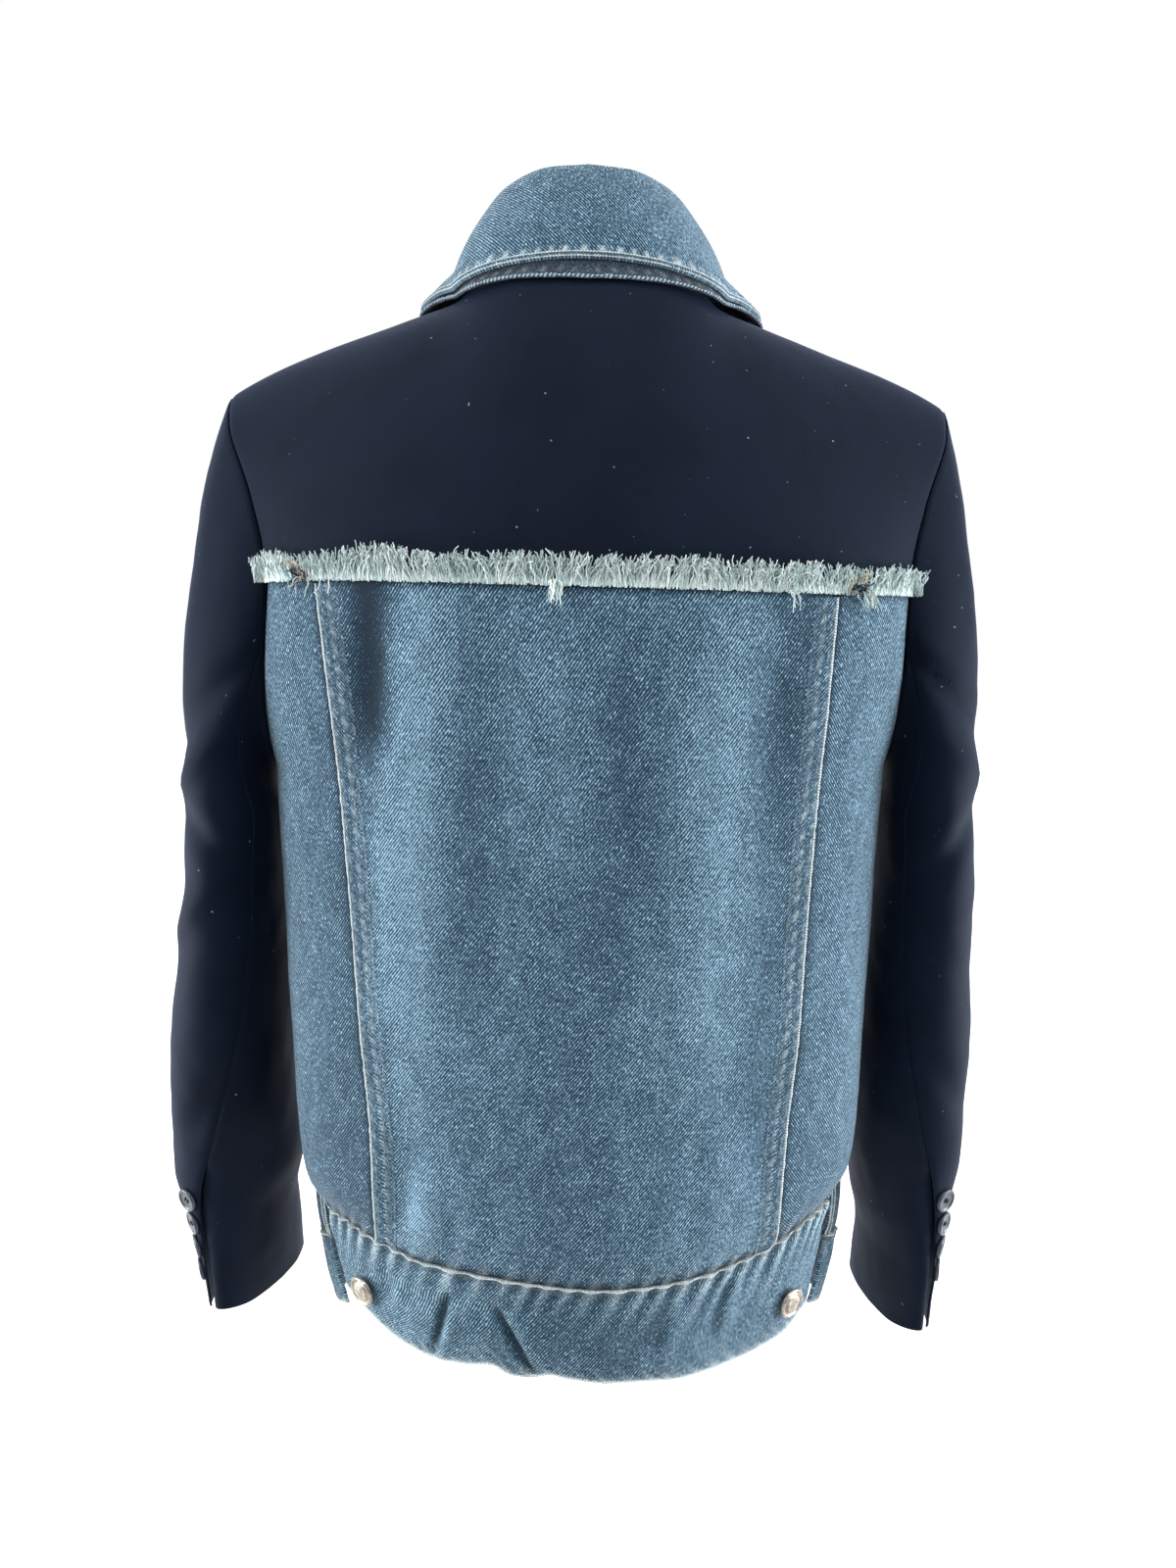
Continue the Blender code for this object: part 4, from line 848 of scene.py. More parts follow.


# A closed wall of cloth over a grid of outer points. free names the edges that no seam holds: they
# are rounded like a fold. wear, the real rubbing, and fade, painted shade and light with
# some real washing, are painted on the grid. Its name, less the last word, is that of the solid it stands for.
def clothWall(name, outer, facing, thick, faces, free="", wear=0.0, fade=0.0, anchor=0.5, mirror=1,
              seams=""):
    facing, outer = facing * np.array([mirror, 1, 1]), outer * np.array([mirror, 1, 1])
    across, down = lengthsOf(outer)
    reachOf = {"left": across, "right": across[:, -1:] - across, "top": down, "bottom": down[-1:] - down}
    for side in seams.split():
        outer = outer - facing * (seamPull["depth"] * spread(reachOf[side], 0, seamPull["reach"]))[..., None]
        # painted shade beside the seam
        fade = fade - seamPull["dark"] * spread(reachOf[side], 0, seamPull["darkReach"])
    inner = outer - facing * thick
    for edge, back in ((0, 1), (-1, -2)):
        step = unit(outer[back] - outer[edge]) * cloths["seamGap"] / 2
        outer[edge], inner[edge] = outer[edge] + step, inner[edge] + step
        step = unit(outer[:, back] - outer[:, edge]) * cloths["seamGap"] / 2
        outer[:, edge], inner[:, edge] = outer[:, edge] + step, inner[:, edge] + step
    outer, inner = stand(outer), stand(inner)
    rows, columns = outer.shape[:2]
    count = rows * columns
    grid = np.arange(count).reshape(rows, columns)
    a, b = grid[:-1, :-1].ravel(), grid[1:, :-1].ravel()
    skin = np.stack([a, a + 1, b + 1, b], axis=1)
    rim = np.concatenate([grid[0], grid[1:, -1], grid[-1, -2::-1], grid[-2:0:-1, 0]])
    edges = {"top": (grid[0], grid[1]), "bottom": (grid[-1], grid[-2]),
             "left": (grid[:, 0], grid[:, 1]), "right": (grid[:, -1], grid[:, -2])}
    flatOuter, flatInner = outer.reshape(-1, 3), inner.reshape(-1, 3)
    push = np.zeros((count, 3))
    for side in free.split():
        edge, back = edges[side]
        push[edge] += unit(flatOuter[edge] - flatOuter[back]) * thick * foldedEdge["swell"]
    loops, middle = [rim], []
    for k in range(foldedEdge["rows"]):
        turn = math.pi * (k + 1) / (foldedEdge["rows"] + 1)
        middle.append(flatOuter[rim] + (flatInner[rim] - flatOuter[rim]) * (1 - math.cos(turn)) / 2
                      + push[rim] * math.sin(turn))
        loops.append(2 * count + k * len(rim) + np.arange(len(rim)))
    loops.append(rim + count)
    cells = [skin, skin[:, ::-1] + count]
    for near, far in zip(loops, loops[1:]):
        cells.append(np.stack([np.roll(near, -1), near, far, np.roll(far, -1)], axis=1))
    cells = np.concatenate(cells)
    i, j = rows // 2, columns // 2
    turned = np.cross(outer[i, j + 1] - outer[i, j], outer[i + 1, j] - outer[i, j])
    if np.dot(turned, facing[i, j]) < 0:
        cells = cells[:, ::-1]
    vertices = np.concatenate([flatOuter, flatInner, *middle])
    piece = newPiece(name, vertices.tolist(), cells.tolist(), faces[:2])
    mesh = piece.data
    across, down = lengthsOf(outer)
    wide, long = across[:, -1].max(), down[-1].max()
    across = across - across[:, [round(anchor * (columns - 1))]]
    everywhere = np.concatenate([np.arange(count)] * 2 + [rim] * foldedEdge["rows"])
    corners = np.empty(len(mesh.loops), int)
    mesh.loops.foreach_get("vertex_index", corners)
    flat = np.stack([across, down], axis=-1).reshape(-1, 2)[everywhere]
    mesh.uv_layers.new(name="flat").data.foreach_set("uv", flat[corners].ravel())
    for label, values in (("wear", wear), ("fade", fade)):
        values = (values + np.zeros((rows, columns))).reshape(-1)[everywhere]
        mesh.attributes.new(label, "FLOAT", "POINT").data.foreach_set("value", values)
    index = np.zeros(len(mesh.polygons), int)
    index[len(skin) : 2 * len(skin)] = 1
    mesh.polygons.foreach_set("material_index", index)
    diagonals = outer[1:, 1:] - outer[:-1, :-1], outer[1:, :-1] - outer[:-1, 1:]
    area = float(np.linalg.norm(np.cross(*diagonals), axis=-1).sum() / 2)
    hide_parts(name.rsplit("_", 1)[0])
    sheetFacts.append((piece, (round(float(wide), 3), round(float(long), 3)), round(area, 4)))


print("stage: drape and puckers")
drape = {"broad": 0.0008, "broadSize": 0.060, "fine": 0.00022, "fineSize": 0.015}
puckering = {
    "pitch": 0.0088, "slant": 0.35, "band": 0.00125, "panel": 0.00060, "bandReach": 0.012,
    "panelReach": 0.007, "dip": 0.0009, "dipReach": 0.006,
}
quarterRing = {1: 0.172, -1: 0.180}  # from the middle to a side seam, back and front
# Slanting creases: start x, start height, end x, end height, half width, depth
creaseTables = {
    1: (
        (0.0712, -0.553, 0.0825, -0.5955, 0.0026, -0.0036),
        (0.0455, -0.555, 0.0227, -0.5965, 0.0026, -0.0034),
        (0.0756, -0.470, 0.0644, -0.536, 0.0060, -0.0022),
        (-0.0520, -0.548, -0.0420, -0.582, 0.0036, -0.0014),
        (-0.0660, -0.455, -0.0610, -0.520, 0.0070, -0.0016),
        (0.0080, -0.490, 0.0020, -0.533, 0.0060, -0.0012),
        (-0.0850, -0.545, -0.0760, -0.580, 0.0036, -0.0016),
        (0.1060, -0.548, 0.1130, -0.578, 0.0036, -0.0014),
    ),
    -1: (
        (0.0600, -0.480, 0.0500, -0.545, 0.0070, -0.0012),
        (-0.0720, -0.470, -0.0600, -0.540, 0.0070, -0.0012),
        (0.0900, -0.577, 0.0830, -0.604, 0.0045, -0.0011),
        (-0.0500, -0.578, -0.0430, -0.606, 0.0045, -0.0011),
    ),
}
# How far the back band's seam and hem lie above their even lines
hemLine = Table(
    "across seam hem",
    (-0.760, 0.0110, 0.0030),
    (-0.660, 0.0075, -0.0020),
    (-0.570, 0.0060, -0.0035),
    (-0.460, 0.0050, -0.0018),
    (-0.375, 0.0046, -0.0016),
    (-0.330, 0.0030, -0.0019),
    (-0.250, 0.0012, -0.0027),
    (-0.160, 0.0003, -0.0006),
    (-0.070, 0.0000, 0.0002),
    (0.020, 0.0015, 0.0035),
    (0.062, 0.0025, 0.0056),
    (0.107, 0.0036, 0.0034),
    (0.146, 0.0042, 0.0036),
    (0.194, 0.0050, 0.0081),
    (0.260, 0.0056, 0.0055),
    (0.350, 0.0060, 0.0034),
    (0.430, 0.0064, 0.0045),
    (0.550, 0.0055, 0.0075),
    (0.650, 0.0046, 0.0092),
    (0.760, 0.0046, 0.0095),
)


def bandTop(face):
    return levels["backBand"] if face > 0 else levels["frontBand"]


def hemOf(face):
    return levels["backHem"] if face > 0 else levels["frontHem"]


def hemLift(across, height):
    low = ease((-0.430 - height) / 0.110)
    share = np.clip((bandTop(1) - height) / (bandTop(1) - hemOf(1)), 0, 1)
    return low * (hemLine("seam", across) * (1 - share) + hemLine("hem", across) * share)


def softDrape(spots, seed=1):
    broad = drape["broad"] * softNoise(spots, drape["broadSize"], seed)
    return broad + drape["fine"] * softNoise(spots, drape["fineSize"], seed + 5)


# Uneven ripples across a seam, about so far apart
def ripples(along, pitch, seed):
    flat = point(along, 0 * along, 0 * along)
    wander = softNoise(flat, pitch * 3.2, seed)
    size = np.clip(0.85 + 0.7 * softNoise(flat, pitch * 2.3, seed + 3), 0.55, 1.3)
    return np.sin(2 * math.pi * along / pitch + 4.0 * wander) * size


def creases(face, x, height):
    total = 0 * x
    for x1, z1, x2, z2, half, depth in creaseTables[face]:
        run = np.array([x2 - x1, z2 - z1])
        long = np.hypot(*run)
        along = ((x - x1) * run[0] + (height - z1) * run[1]) / long**2
        aside = ((x - x1) * run[1] - (height - z1) * run[0]) / long
        inside = np.sin(math.pi * np.clip(along, 0, 1)) ** 0.6
        total = total + depth * inside * (spread(aside, 0, half) - 0.6 * spread(aside, 2 * half, half))
    return total


def seamRipple(face, across, height):
    along = quarterRing[1] * across + puckering["slant"] * (height - bandTop(face))
    return ripples(along, puckering["pitch"], 11 if face > 0 else 23)


def hemRoping(face, across, height):
    up = np.maximum(height - hemOf(face), 0)
    return ripples(quarterRing[1] * across - 0.8 * up, 0.0075, 41), up


# Drape, creases and the puckers that fade away from the band's seam
def clothRise(face, across, height, size, reach):
    spots = ring(face, across, height)
    away = np.abs(height - bandTop(face))
    rise = softDrape(spots) + creases(face, spots[..., 0], height)
    return rise + size * seamRipple(face, across, height) * np.exp(-away / reach)


def panelRise(face, across, height):
    dip = puckering["dip"] * spread(np.maximum(height - bandTop(face), 0), 0, puckering["dipReach"])
    return clothRise(face, across, height, puckering["panel"], puckering["panelReach"]) - dip


# Paler and darker lengths down the back: the paler ones washed into the cloth, the darker ones by the sleeves
# and down the middle partly painted shade: place, half width, tone
shadeAndWashBands = (
    (0.086, 0.020, 0.15), (-0.076, 0.021, 0.09), (0.0, 0.045, -0.06), (0.124, 0.016, -0.10),
    (0.150, 0.030, -0.10), (-0.150, 0.030, -0.07), (-0.112, 0.014, -0.10), (0.035, 0.012, 0.05),
    (-0.030, 0.010, 0.05), (0.158, 0.02, 0.02), (-0.158, 0.02, 0.08),
)
toneDrift = {"lean": 0.02, "level": -0.35, "start": -0.30, "reach": 0.2, "side": 0.06, "middle": 0.005}
# Painted shade down the fold that runs from the fringe, and how folds and creases show as painted shade in
# their troughs and painted light on their ridges
paintedFoldShadow = {"x": 0.1125, "lean": 0.03, "half": 0.0085, "tone": -0.58, "end": -0.262, "fade": 0.05}
foldShading = {"body": 52, "bodyLeast": -0.40, "bodyMost": 0.10, "band": 150, "bandLeast": -0.46, "bandMost": 0.20}


def panelShadeAndWash(face, across, height):
    x = ring(face, across, height)[..., 0]
    # painted shade in the folds' troughs, painted light on their ridges
    folds = foldShading["body"] * bodyRelief(face, across, height)
    tone = np.clip(folds, foldShading["bodyLeast"], foldShading["bodyMost"])
    for place, half, size in shadeAndWashBands:
        tone = tone + size * spread(x + toneDrift["lean"] * (height - toneDrift["level"]), place, half)
    if face > 0:
        # painted shade down the fold below the fringe
        place = paintedFoldShadow["x"] + paintedFoldShadow["lean"] * (height - levels["fringe"] + 0.003)
        above = ease((height - paintedFoldShadow["end"]) / paintedFoldShadow["fade"])
        tone = tone + paintedFoldShadow["tone"] * spread(x, place, paintedFoldShadow["half"]) * above
    # darker towards the bottom, more so at the sides
    low = ease((toneDrift["start"] - height) / toneDrift["reach"])
    return tone - low * (toneDrift["side"] * across**2 + toneDrift["middle"] * (1 - np.abs(across)))


def panelWear(face, across, height):
    above = np.maximum(height - bandTop(face), 0)
    ridge = np.clip(seamRipple(face, across, height), 0, 1)
    return 0.45 * ridge * np.exp(-above / puckering["panelReach"])


def bandWear(face, across, height):
    below = np.maximum(bandTop(face) - height, 0)
    ridge = np.clip(seamRipple(face, across, height), 0, 1)
    roping, up = hemRoping(face, across, height)
    worn = 0.80 * ridge**1.5 * np.exp(-below / 0.008) + 0.55 * np.exp(-below / 0.0012)
    hem = 0.70 * np.clip(roping, 0, 1) * np.exp(-up / 0.0050) + 0.75 * np.exp(-up / 0.0010)
    return np.clip(worn + hem, 0, 1)


def bandShadeAndWash(face, across, height):
    side = np.abs(across)
    below = np.maximum(bandTop(face) - height, 0)
    ripple = np.clip(seamRipple(face, across, height), -1, 1)
    # painted shade in the puckers' troughs and painted light on their ridges
    pucker = 0.52 * power(ripple, 1.4) * np.exp(-below / 0.010)
    # painted shade in the creases and painted light on their raised sides
    folds = foldShading["band"] * creases(face, ring(face, across, height)[..., 0], height)
    # darker down the middle, paler towards the sides, partly painted shade
    length = 0.05 * spread(side, 0.55, 0.22) - 0.10 * spread(side, 0, 0.22)
    return (panelShadeAndWash(face, across, height) * 0.5 + length + pucker
            + np.clip(folds, foldShading["bandLeast"], foldShading["bandMost"]))


bandRows = {"top": 0.0022, "hem": 0.0068, "half": 0.0007, "trough": 0.0003, "rope": 0.00030}


def bandRise(face, across, height):
    below = np.maximum(bandTop(face) - height, 0)
    roping, up = hemRoping(face, across, height)
    stitched = spread(below, bandRows["top"], bandRows["half"]) + spread(up, bandRows["hem"], bandRows["half"])
    rise = clothRise(face, across, height, puckering["band"], puckering["bandReach"])
    return rise - bandRows["trough"] * stitched + bandRows["rope"] * roping * spread(up, 0.0035, 0.0030)


print("stage: body panels and waistbands")
sides = (("left", 1), ("right", -1))
weave = {"body": 0.0028, "band": 0.0016, "front": 0.0042, "frontBand": 0.00252, "fell": 0.0012}
# Below the slits the back edge of a front rolls inwards, so that its right side shows from behind
slitRoll = {"reach": 0.022, "depth": 0.0105, "start": 0.022}


# Points of the body's cloth, so high over its plain form, and the directions away from it
def skinOf(face, across, height, rise):
    outer, facing = body(face, across, height, rise), ringFacing(face, across, height)
    if face > 0:
        outer[..., 2] += hemLift(across, height)
        return outer, facing
    side = np.where(across < 0, -1, 1)
    away = (slitEdges("front", height) - np.abs(across)) * quarterRing[face]
    share = np.clip(1 - away / slitRoll["reach"], 0, 1) * ease((levels["slitTop"] - height) / slitRoll["start"])
    towards = unit(ring(face, across + 1e-3 * side, height) - ring(face, across, height))
    slope = 2 * slitRoll["depth"] / slitRoll["reach"] * share
    outer = outer - facing * (slitRoll["depth"] * share**2)[..., None]
    return outer, unit(facing + towards * slope[..., None])


# A wall of the body on a grid of places across and heights
def onBody(name, face, across, height, thick, faces, riseOf, wearOf, fadeOf=panelShadeAndWash, lift=0.0, **options):
    outer, facing = skinOf(face, across, height, lift + riseOf(face, across, height))
    clothWall(name, outer, facing, thick, faces, wear=wearOf(face, across, height),
              fade=fadeOf(face, across, height), **options)


# A grid for onBody between two edges, which are functions of the height
def gridBetween(first, last, width, top, low, pitch):
    share, height = np.meshgrid(shares(width, pitch), stepsAlong(top, low, pitch))
    return first(height) + (last(height) - first(height)) * share, height


# How far across a back seam lies, or a place so far inwards from it
def princess(name, side, inward=0.0):
    return lambda height: acrossAt(1, side * (backSeams(name, height) - inward), height)


# How far across the edge of a side slit lies, or a place so far inwards from it
def slit(face, side, inward=0.0):
    column = "back" if face > 0 else "front"
    return lambda height: side * (slitEdges(column, height) - inward / quarterRing[face])


panelCloth = {"thick": cloths["denim"], "faces": denimFaces, "riseOf": panelRise, "wearOf": panelWear}
bandCloth = {
    "thick": cloths["band"], "faces": bandFaces, "riseOf": bandRise, "wearOf": bandWear, "fadeOf": bandShadeAndWash,
    "lift": cloths["bandLift"], "seams": "top",
}
span = levels["fringe"], levels["backBand"]
grid = gridBetween(princess("right", -1), princess("left", 1), 0.30, *span, weave["body"])
onBody("back_panel_centre_cloth", 1, *grid, seams="top bottom left right", **panelCloth)
for name, side in sides:
    grid = gridBetween(princess(name, side), slit(1, side), 0.09, *span, weave["body"])
    onBody(f"back_panel_{name}_cloth", 1, *grid, seams="top bottom left right", anchor=0.0, **panelCloth)

# The felled seam: two rows of stitches pull its strip down and the cloth between them ropes up
fell = {
    "width": 0.0125, "sink": 0.0008, "rows": (0.0046, 0.0098), "half": 0.0008, "trough": 0.00045,
    "rope": 0.00035, "pitch": 0.0095, "slant": 0.9, "start": 0.0035,
    "ridges": ((0.0072, 0.0020, 1.0), (0.0016, 0.0016, 0.8), (0.0122, 0.0016, 0.4)),  # place, half, size
}


def fellShape(name, side, across, height):
    inward = backSeams(name, height) - np.abs(ring(1, across, height)[..., 0])
    sewn = sum(spread(inward, place, fell["half"]) for place in fell["rows"])
    rope = ripples(height + fell["slant"] * inward, fell["pitch"], 31 + side)
    between = sum(size * spread(inward, place, half) for place, half, size in fell["ridges"])
    return inward, sewn, rope, between


# How a felled seam rises and wears, as functions for onBody
def fellLooks(name, side):
    def riseOf(face, across, height):
        inward, sewn, rope, between = fellShape(name, side, across, height)
        sink = ease(inward / fell["width"]) * fell["sink"]
        return panelRise(face, across, height) - fell["trough"] * sewn + fell["rope"] * rope * between - sink

    def wearOf(face, across, height):
        inward, sewn, rope, between = fellShape(name, side, across, height)
        return np.clip(0.38 * np.clip(rope, 0, 1) * between + 0.08 * between - 0.2 * sewn, 0, 1)

    return riseOf, wearOf


for name, side in sides:
    riseOf, wearOf = fellLooks(name, side)
    grid = gridBetween(princess(name, side), princess(name, side, fell["width"]), fell["width"],
                       levels["fringe"] - fell["start"], levels["backBand"], weave["fell"])
    onBody(f"felled_seam_{name}_cloth", 1, *grid, cloths["fell"], denimFaces, riseOf, wearOf,
           lift=cloths["fellLift"], free="left right", anchor=0.0)
grid = gridBetween(slit(1, -1), slit(1, 1), 0.30, levels["backBand"], levels["backHem"], weave["band"])
onBody("back_band_cloth", 1, *grid, free="bottom left right", **bandCloth)


# A grid for a front, from the lapped edge to the side slit
def frontGrid(side, top, low, pitch):
    rows = stepsAlong(top, low, pitch)
    lap = acrossAt(-1, np.full(rows.shape, -side * lapCut["width"]), rows)
    share = shares(0.22, pitch)
    across = lap[:, None] + (slit(-1, side)(rows) - lap)[:, None] * share
    return across, np.repeat(rows[:, None], len(share), axis=1)


# The right front lies over the left one
def lapRise(side, x):
    edge = 2.4 * lapCut["width"]
    return (side < 0) * lapCut["lift"] * ease((x + edge) / (edge / 2))


def overLap(riseOf, side):
    return lambda face, across, height: (
        riseOf(face, across, height) + lapRise(side, ring(face, across, height)[..., 0]))


for name, side in sides:
    grid = frontGrid(side, levels["fringe"], levels["frontBand"], weave["front"])
    onBody(f"front_panel_{name}_cloth", -1, *grid, free="left", seams="top bottom", anchor=0.0,
           **{**panelCloth, "riseOf": overLap(panelRise, side)})
    grid = frontGrid(side, levels["frontBand"], levels["frontHem"], weave["frontBand"])
    onBody(f"front_band_{name}_cloth", -1, *grid, free="left right bottom", anchor=0.0,
           **{**bandCloth, "riseOf": overLap(bandRise, side)})

print("stage: suiting yokes")


# Evens a surface out along its rows, by as much as near says
def evened(surface, near, count=25):
    weights = np.exp(-np.linspace(-2, 2, count) ** 2)
    reach = count // 2
    padded = np.pad(surface, ((0, 0), (reach, reach), (0, 0)), mode="reflect", reflect_type="odd")
    smooth = sum(w * padded[:, k : k + surface.shape[1]] for k, w in enumerate(weights)) / weights.sum()
    return surface + (smooth - surface) * near[..., None]


# At the shoulder line both yokes face straight up
def liftShoulder(facing, climb):
    facing = np.where(facing[..., 2:3] < -0.3, -facing, facing)
    up = ease((climb - 0.85) / 0.15)[..., None]
    return unit(facing * (1 - up) + unit(facing * np.array([1, 0, 1])) * up)


def suitingWall(name, face, across, climb, side=1, lap=False, seams="top left right"):
    # the neck's end pulls no crease into the cloth below it
    size = np.abs(across)
    calm = ease((size - 0.12) / 0.1) * ease((0.60 - size) / 0.1) * ease((0.95 - climb) / 0.12)
    base = evened(yoke(face, across, climb), calm, 19)
    facing = outward(face, normals(lambda u, v: yoke(face, u, v), across, climb))
    facing = unit(evened(liftShoulder(facing, climb), calm, 19))
    quiet = (np.sin(math.pi * climb).clip(0, 1) * np.clip((1 - size) * 8, 0, 1)) ** 0.5
    mirror = np.array([side, 1, 1])
    outer = (base + facing * (softDrape(base, 7) * 0.7 * quiet)[..., None]) * mirror
    if lap:
        outer[..., 1] -= lapRise(side, outer[..., 0])
    clothWall(name, outer, facing * mirror, cloths["suiting"], suitingFaces, seams=seams)


yokeGrid = {"climbs": 66, "neck": 30, "shoulder": 60, "lap": 7}
climbs = np.linspace(1, 0, yokeGrid["climbs"])
half = np.concatenate([np.linspace(0, neckCut["share"], yokeGrid["neck"]),
                       np.linspace(neckCut["share"], 1, yokeGrid["shoulder"])[1:]])
across, climb = np.meshgrid(np.concatenate([-half[:0:-1], half]), climbs)
suitingWall("back_yoke_cloth", 1, across, climb)
lapAcross = float(acrossAt(-1, np.array(lapCut["width"]), np.array(levels["fringe"])))
across, climb = np.meshgrid(np.concatenate([np.linspace(-lapAcross, 0, yokeGrid["lap"])[:-1], half]), climbs)
for name, side in sides:
    suitingWall(f"front_yoke_{name}_cloth", -1, across, climb, side, lap=True, seams="top right")

print("stage: sleeves")
sleeveWeave = {"across": 0.0032, "down": 0.0034, "cap": 0.115, "top": 0.22, "under": 0.11}
vent = {"top": -0.512, "reach": 0.018, "sink": 0.0026, "wide": 0.010, "edge": 0.0008}
sleeveDrape = {"size": 2.2, "start": 0.10, "left": 17, "right": 29}
armRadius = 0.05  # for lengths round the sleeve


def sleeveFacing(name, angle, down):
    one = sleeve(name, angle + 1, down) - sleeve(name, angle - 1, down)
    other = sleeve(name, angle, down + 2e-3) - sleeve(name, angle, np.maximum(down - 2e-3, 0))
    return unit(np.cross(other, one))


# The vent: the top sleeve's edge lies over the under sleeve
def ventRise(part, base, fromBack):
    low = ease((vent["top"] - base[..., 2]) / vent["reach"])
    if part == "top":
        return vent["edge"] * low * spread(fromBack, 0, vent["wide"])
    return -vent["sink"] * low * spread(fromBack, 0, 1.6 * vent["wide"])


def sleeveSkin(name, part, angle, down, fromBack):
    base = sleeve(name, angle, down)
    near = ease(down / sleeveDrape["start"])
    facing = unit(sleeveFacing(name, angle, down) * point(near, 1, 1))
    rise = softDrape(base, sleeveDrape[name]) * near * sleeveDrape["size"] + ventRise(part, base, fromBack)
    return base + facing * rise[..., None], facing


for name, side in sides:
    arm = levels["capEnd"] - sleeves[name][0].along[0]
    capRows = stepsAlong(0, sleeveWeave["cap"], sleeveWeave["down"]) / sleeveWeave["cap"]
    armRows = 1 + stepsAlong(0, arm, sleeveWeave["down"]) / arm
    rows = np.concatenate([capRows[:-2], armRows[2:]])
    back, front = sleeveSeams("back", rows), sleeveSeams("front", rows)
    for part, start, end in (("top", front - 360, back), ("under", back, front)):
        share, down = np.meshgrid(shares(sleeveWeave[part], sleeveWeave["across"]), rows)
        angle = start[:, None] + (end - start)[:, None] * share
        gap = (1 - share) if part == "top" else share
        fromBack = gap * np.radians(end - start)[:, None] * armRadius
        outer, facing = sleeveSkin(name, part, angle, down, fromBack)
        clothWall(f"{part}_sleeve_{name}_cloth", outer, facing, cloths["suiting"], suitingFaces,
                  free="bottom", seams="top left right", mirror=side, anchor=float(part == "top"))

print("stage: collar")
collarWeave = {"turn": 0.85, "turnEdge": 0.35, "leaf": 0.0015, "under": 0.0018, "stand": 0.0025}
leafWork = {  # heights above a leaf's edge
    "row": 0.0072, "underRow": 0.0060, "bead": 0.00045, "trough": 0.00045, "rope": 0.00040,
    "ropePitch": 0.0088, "ropeStart": 0.0018, "ropeEnd": 0.0064,
}
turns = stepsAlong(-collarCut["end"], collarCut["end"], collarWeave["turn"], collarWeave["turnEdge"])


# Rows down a leaf, close together at its edge where the two rubbed cords lie
def leafRows(width):
    close = 1 - np.array([0.0005, 0.0010, 0.0014, 0.0019, 0.0025]) / width
    even = shares(width, collarWeave["leaf"])
    return np.sort(np.concatenate([even[even < close.min() - 0.01], close, [1.0]]))


# The turn of the collar's fold over the shoulder, where the leaves are evened out
def overTurn(turn):
    return ease((np.abs(turn) - 58) / 12) * ease((152 - np.abs(turn)) / 14)


# How a leaf rises and wears, and how far its points lie above its edge and from its middle
def leafDetail(surface, seed, row):
    along, down = lengthsOf(surface)
    up = down[-1] - down
    centre = along - along[:, [along.shape[1] // 2]]
    rope = ripples(centre + 0.5 * up * np.sign(centre), leafWork["ropePitch"], seed)
    zone = ease((up - leafWork["ropeStart"]) / 0.001) * ease((leafWork["ropeEnd"] - up) / 0.001)
    rise = leafWork["bead"] * spread(up, 0.0010, 0.0010) - leafWork["trough"] * spread(up, row, 0.0008)
    rise = rise - 0.00035 * spread(up, 0, 0.0003) + leafWork["rope"] * rope * zone + softDrape(surface, seed)
    wear = 0.80 * np.clip(rope, 0, 1) ** 1.3 * zone + 0.10 * spread(up, 0.0010, 0.0012)
    return rise, np.clip(wear, 0, 1), up, centre


turn, share = np.meshgrid(turns, leafRows(0.056))
near = overTurn(turn)
leafBase, leafOut = evened(leafSurface(turn, share), near), unit(evened(leafFacing(turn, share), near))
rise, wear, leafUp, leafAlong = leafDetail(leafBase, 51, leafWork["row"])
leafSkin = leafBase + leafOut * rise[..., None]
# painted shade in the groove between the edge cords; the tone is also darker over the middle of the back and
# paler to one side and by the fold
grooveShade = -0.55 * spread(leafUp, 0.0011, 0.0005)
tone = 0.05 + grooveShade - 0.14 * spread(leafAlong, 0, 0.05) + 0.10 * spread(leafAlong, -0.11, 0.05)
clothWall("collar_leaf_cloth", leafSkin, leafOut, cloths["collar"], collarFaces,
          free="top bottom left right", wear=wear, fade=tone + 0.10 * spread(share, 0.02, 0.10))

turn, share = np.meshgrid(turns, shares(0.045, collarWeave["under"]))
near, size = overTurn(turn), np.abs(turn)
share = 0.34 + (collarRolls("reach", size) - 0.34) * share
underOut = leafFacing(turn, share)
below = cloths["collar"] + cloths["layGap"] + collarRolls("part", size) * ease((share - 0.4) / 0.6)
underBase = evened(leafSurface(turn, share) - underOut * below[..., None], near)
underOut = unit(evened(underOut, near))
rise, wear, underUp = leafDetail(underBase, 67, leafWork["underRow"])[:3]
underSkin = underBase + underOut * (np.minimum(rise, 0.0002) * 0.8)[..., None]
clothWall("collar_under_leaf_cloth", underSkin, underOut, cloths["underLeaf"], indigoFaces,
          free="top bottom left right", wear=wear * 0.30)

turn, share = np.meshgrid(turns[::2], shares(0.03, collarWeave["stand"]))
middle = point(0, collarCut["middleY"], 0)
foot = neckline(turn) + point(0, 0, collarCut["standGap"])
top = foldLine(np.abs(turn)) * point(handed(turn), 1, 1)
top = top - unit((top - middle) * (1, 1, 0)) * cloths["collar"] / 2
top = top - point(0, 0, cloths["collar"] + 2 * cloths["layGap"])
standOuter = foot + (top - foot) * share[..., None]
standOut = unit((standOuter - middle) * (1, 1, 0))
clothWall("collar_stand_cloth", standOuter, standOut, cloths["denim"], standFaces, free="top left right")

print("stage: stitches, edge cords and fringe")
socketKinds = {float: "NodeSocketFloat", int: "NodeSocketInt", type(None): "NodeSocketMaterial"}


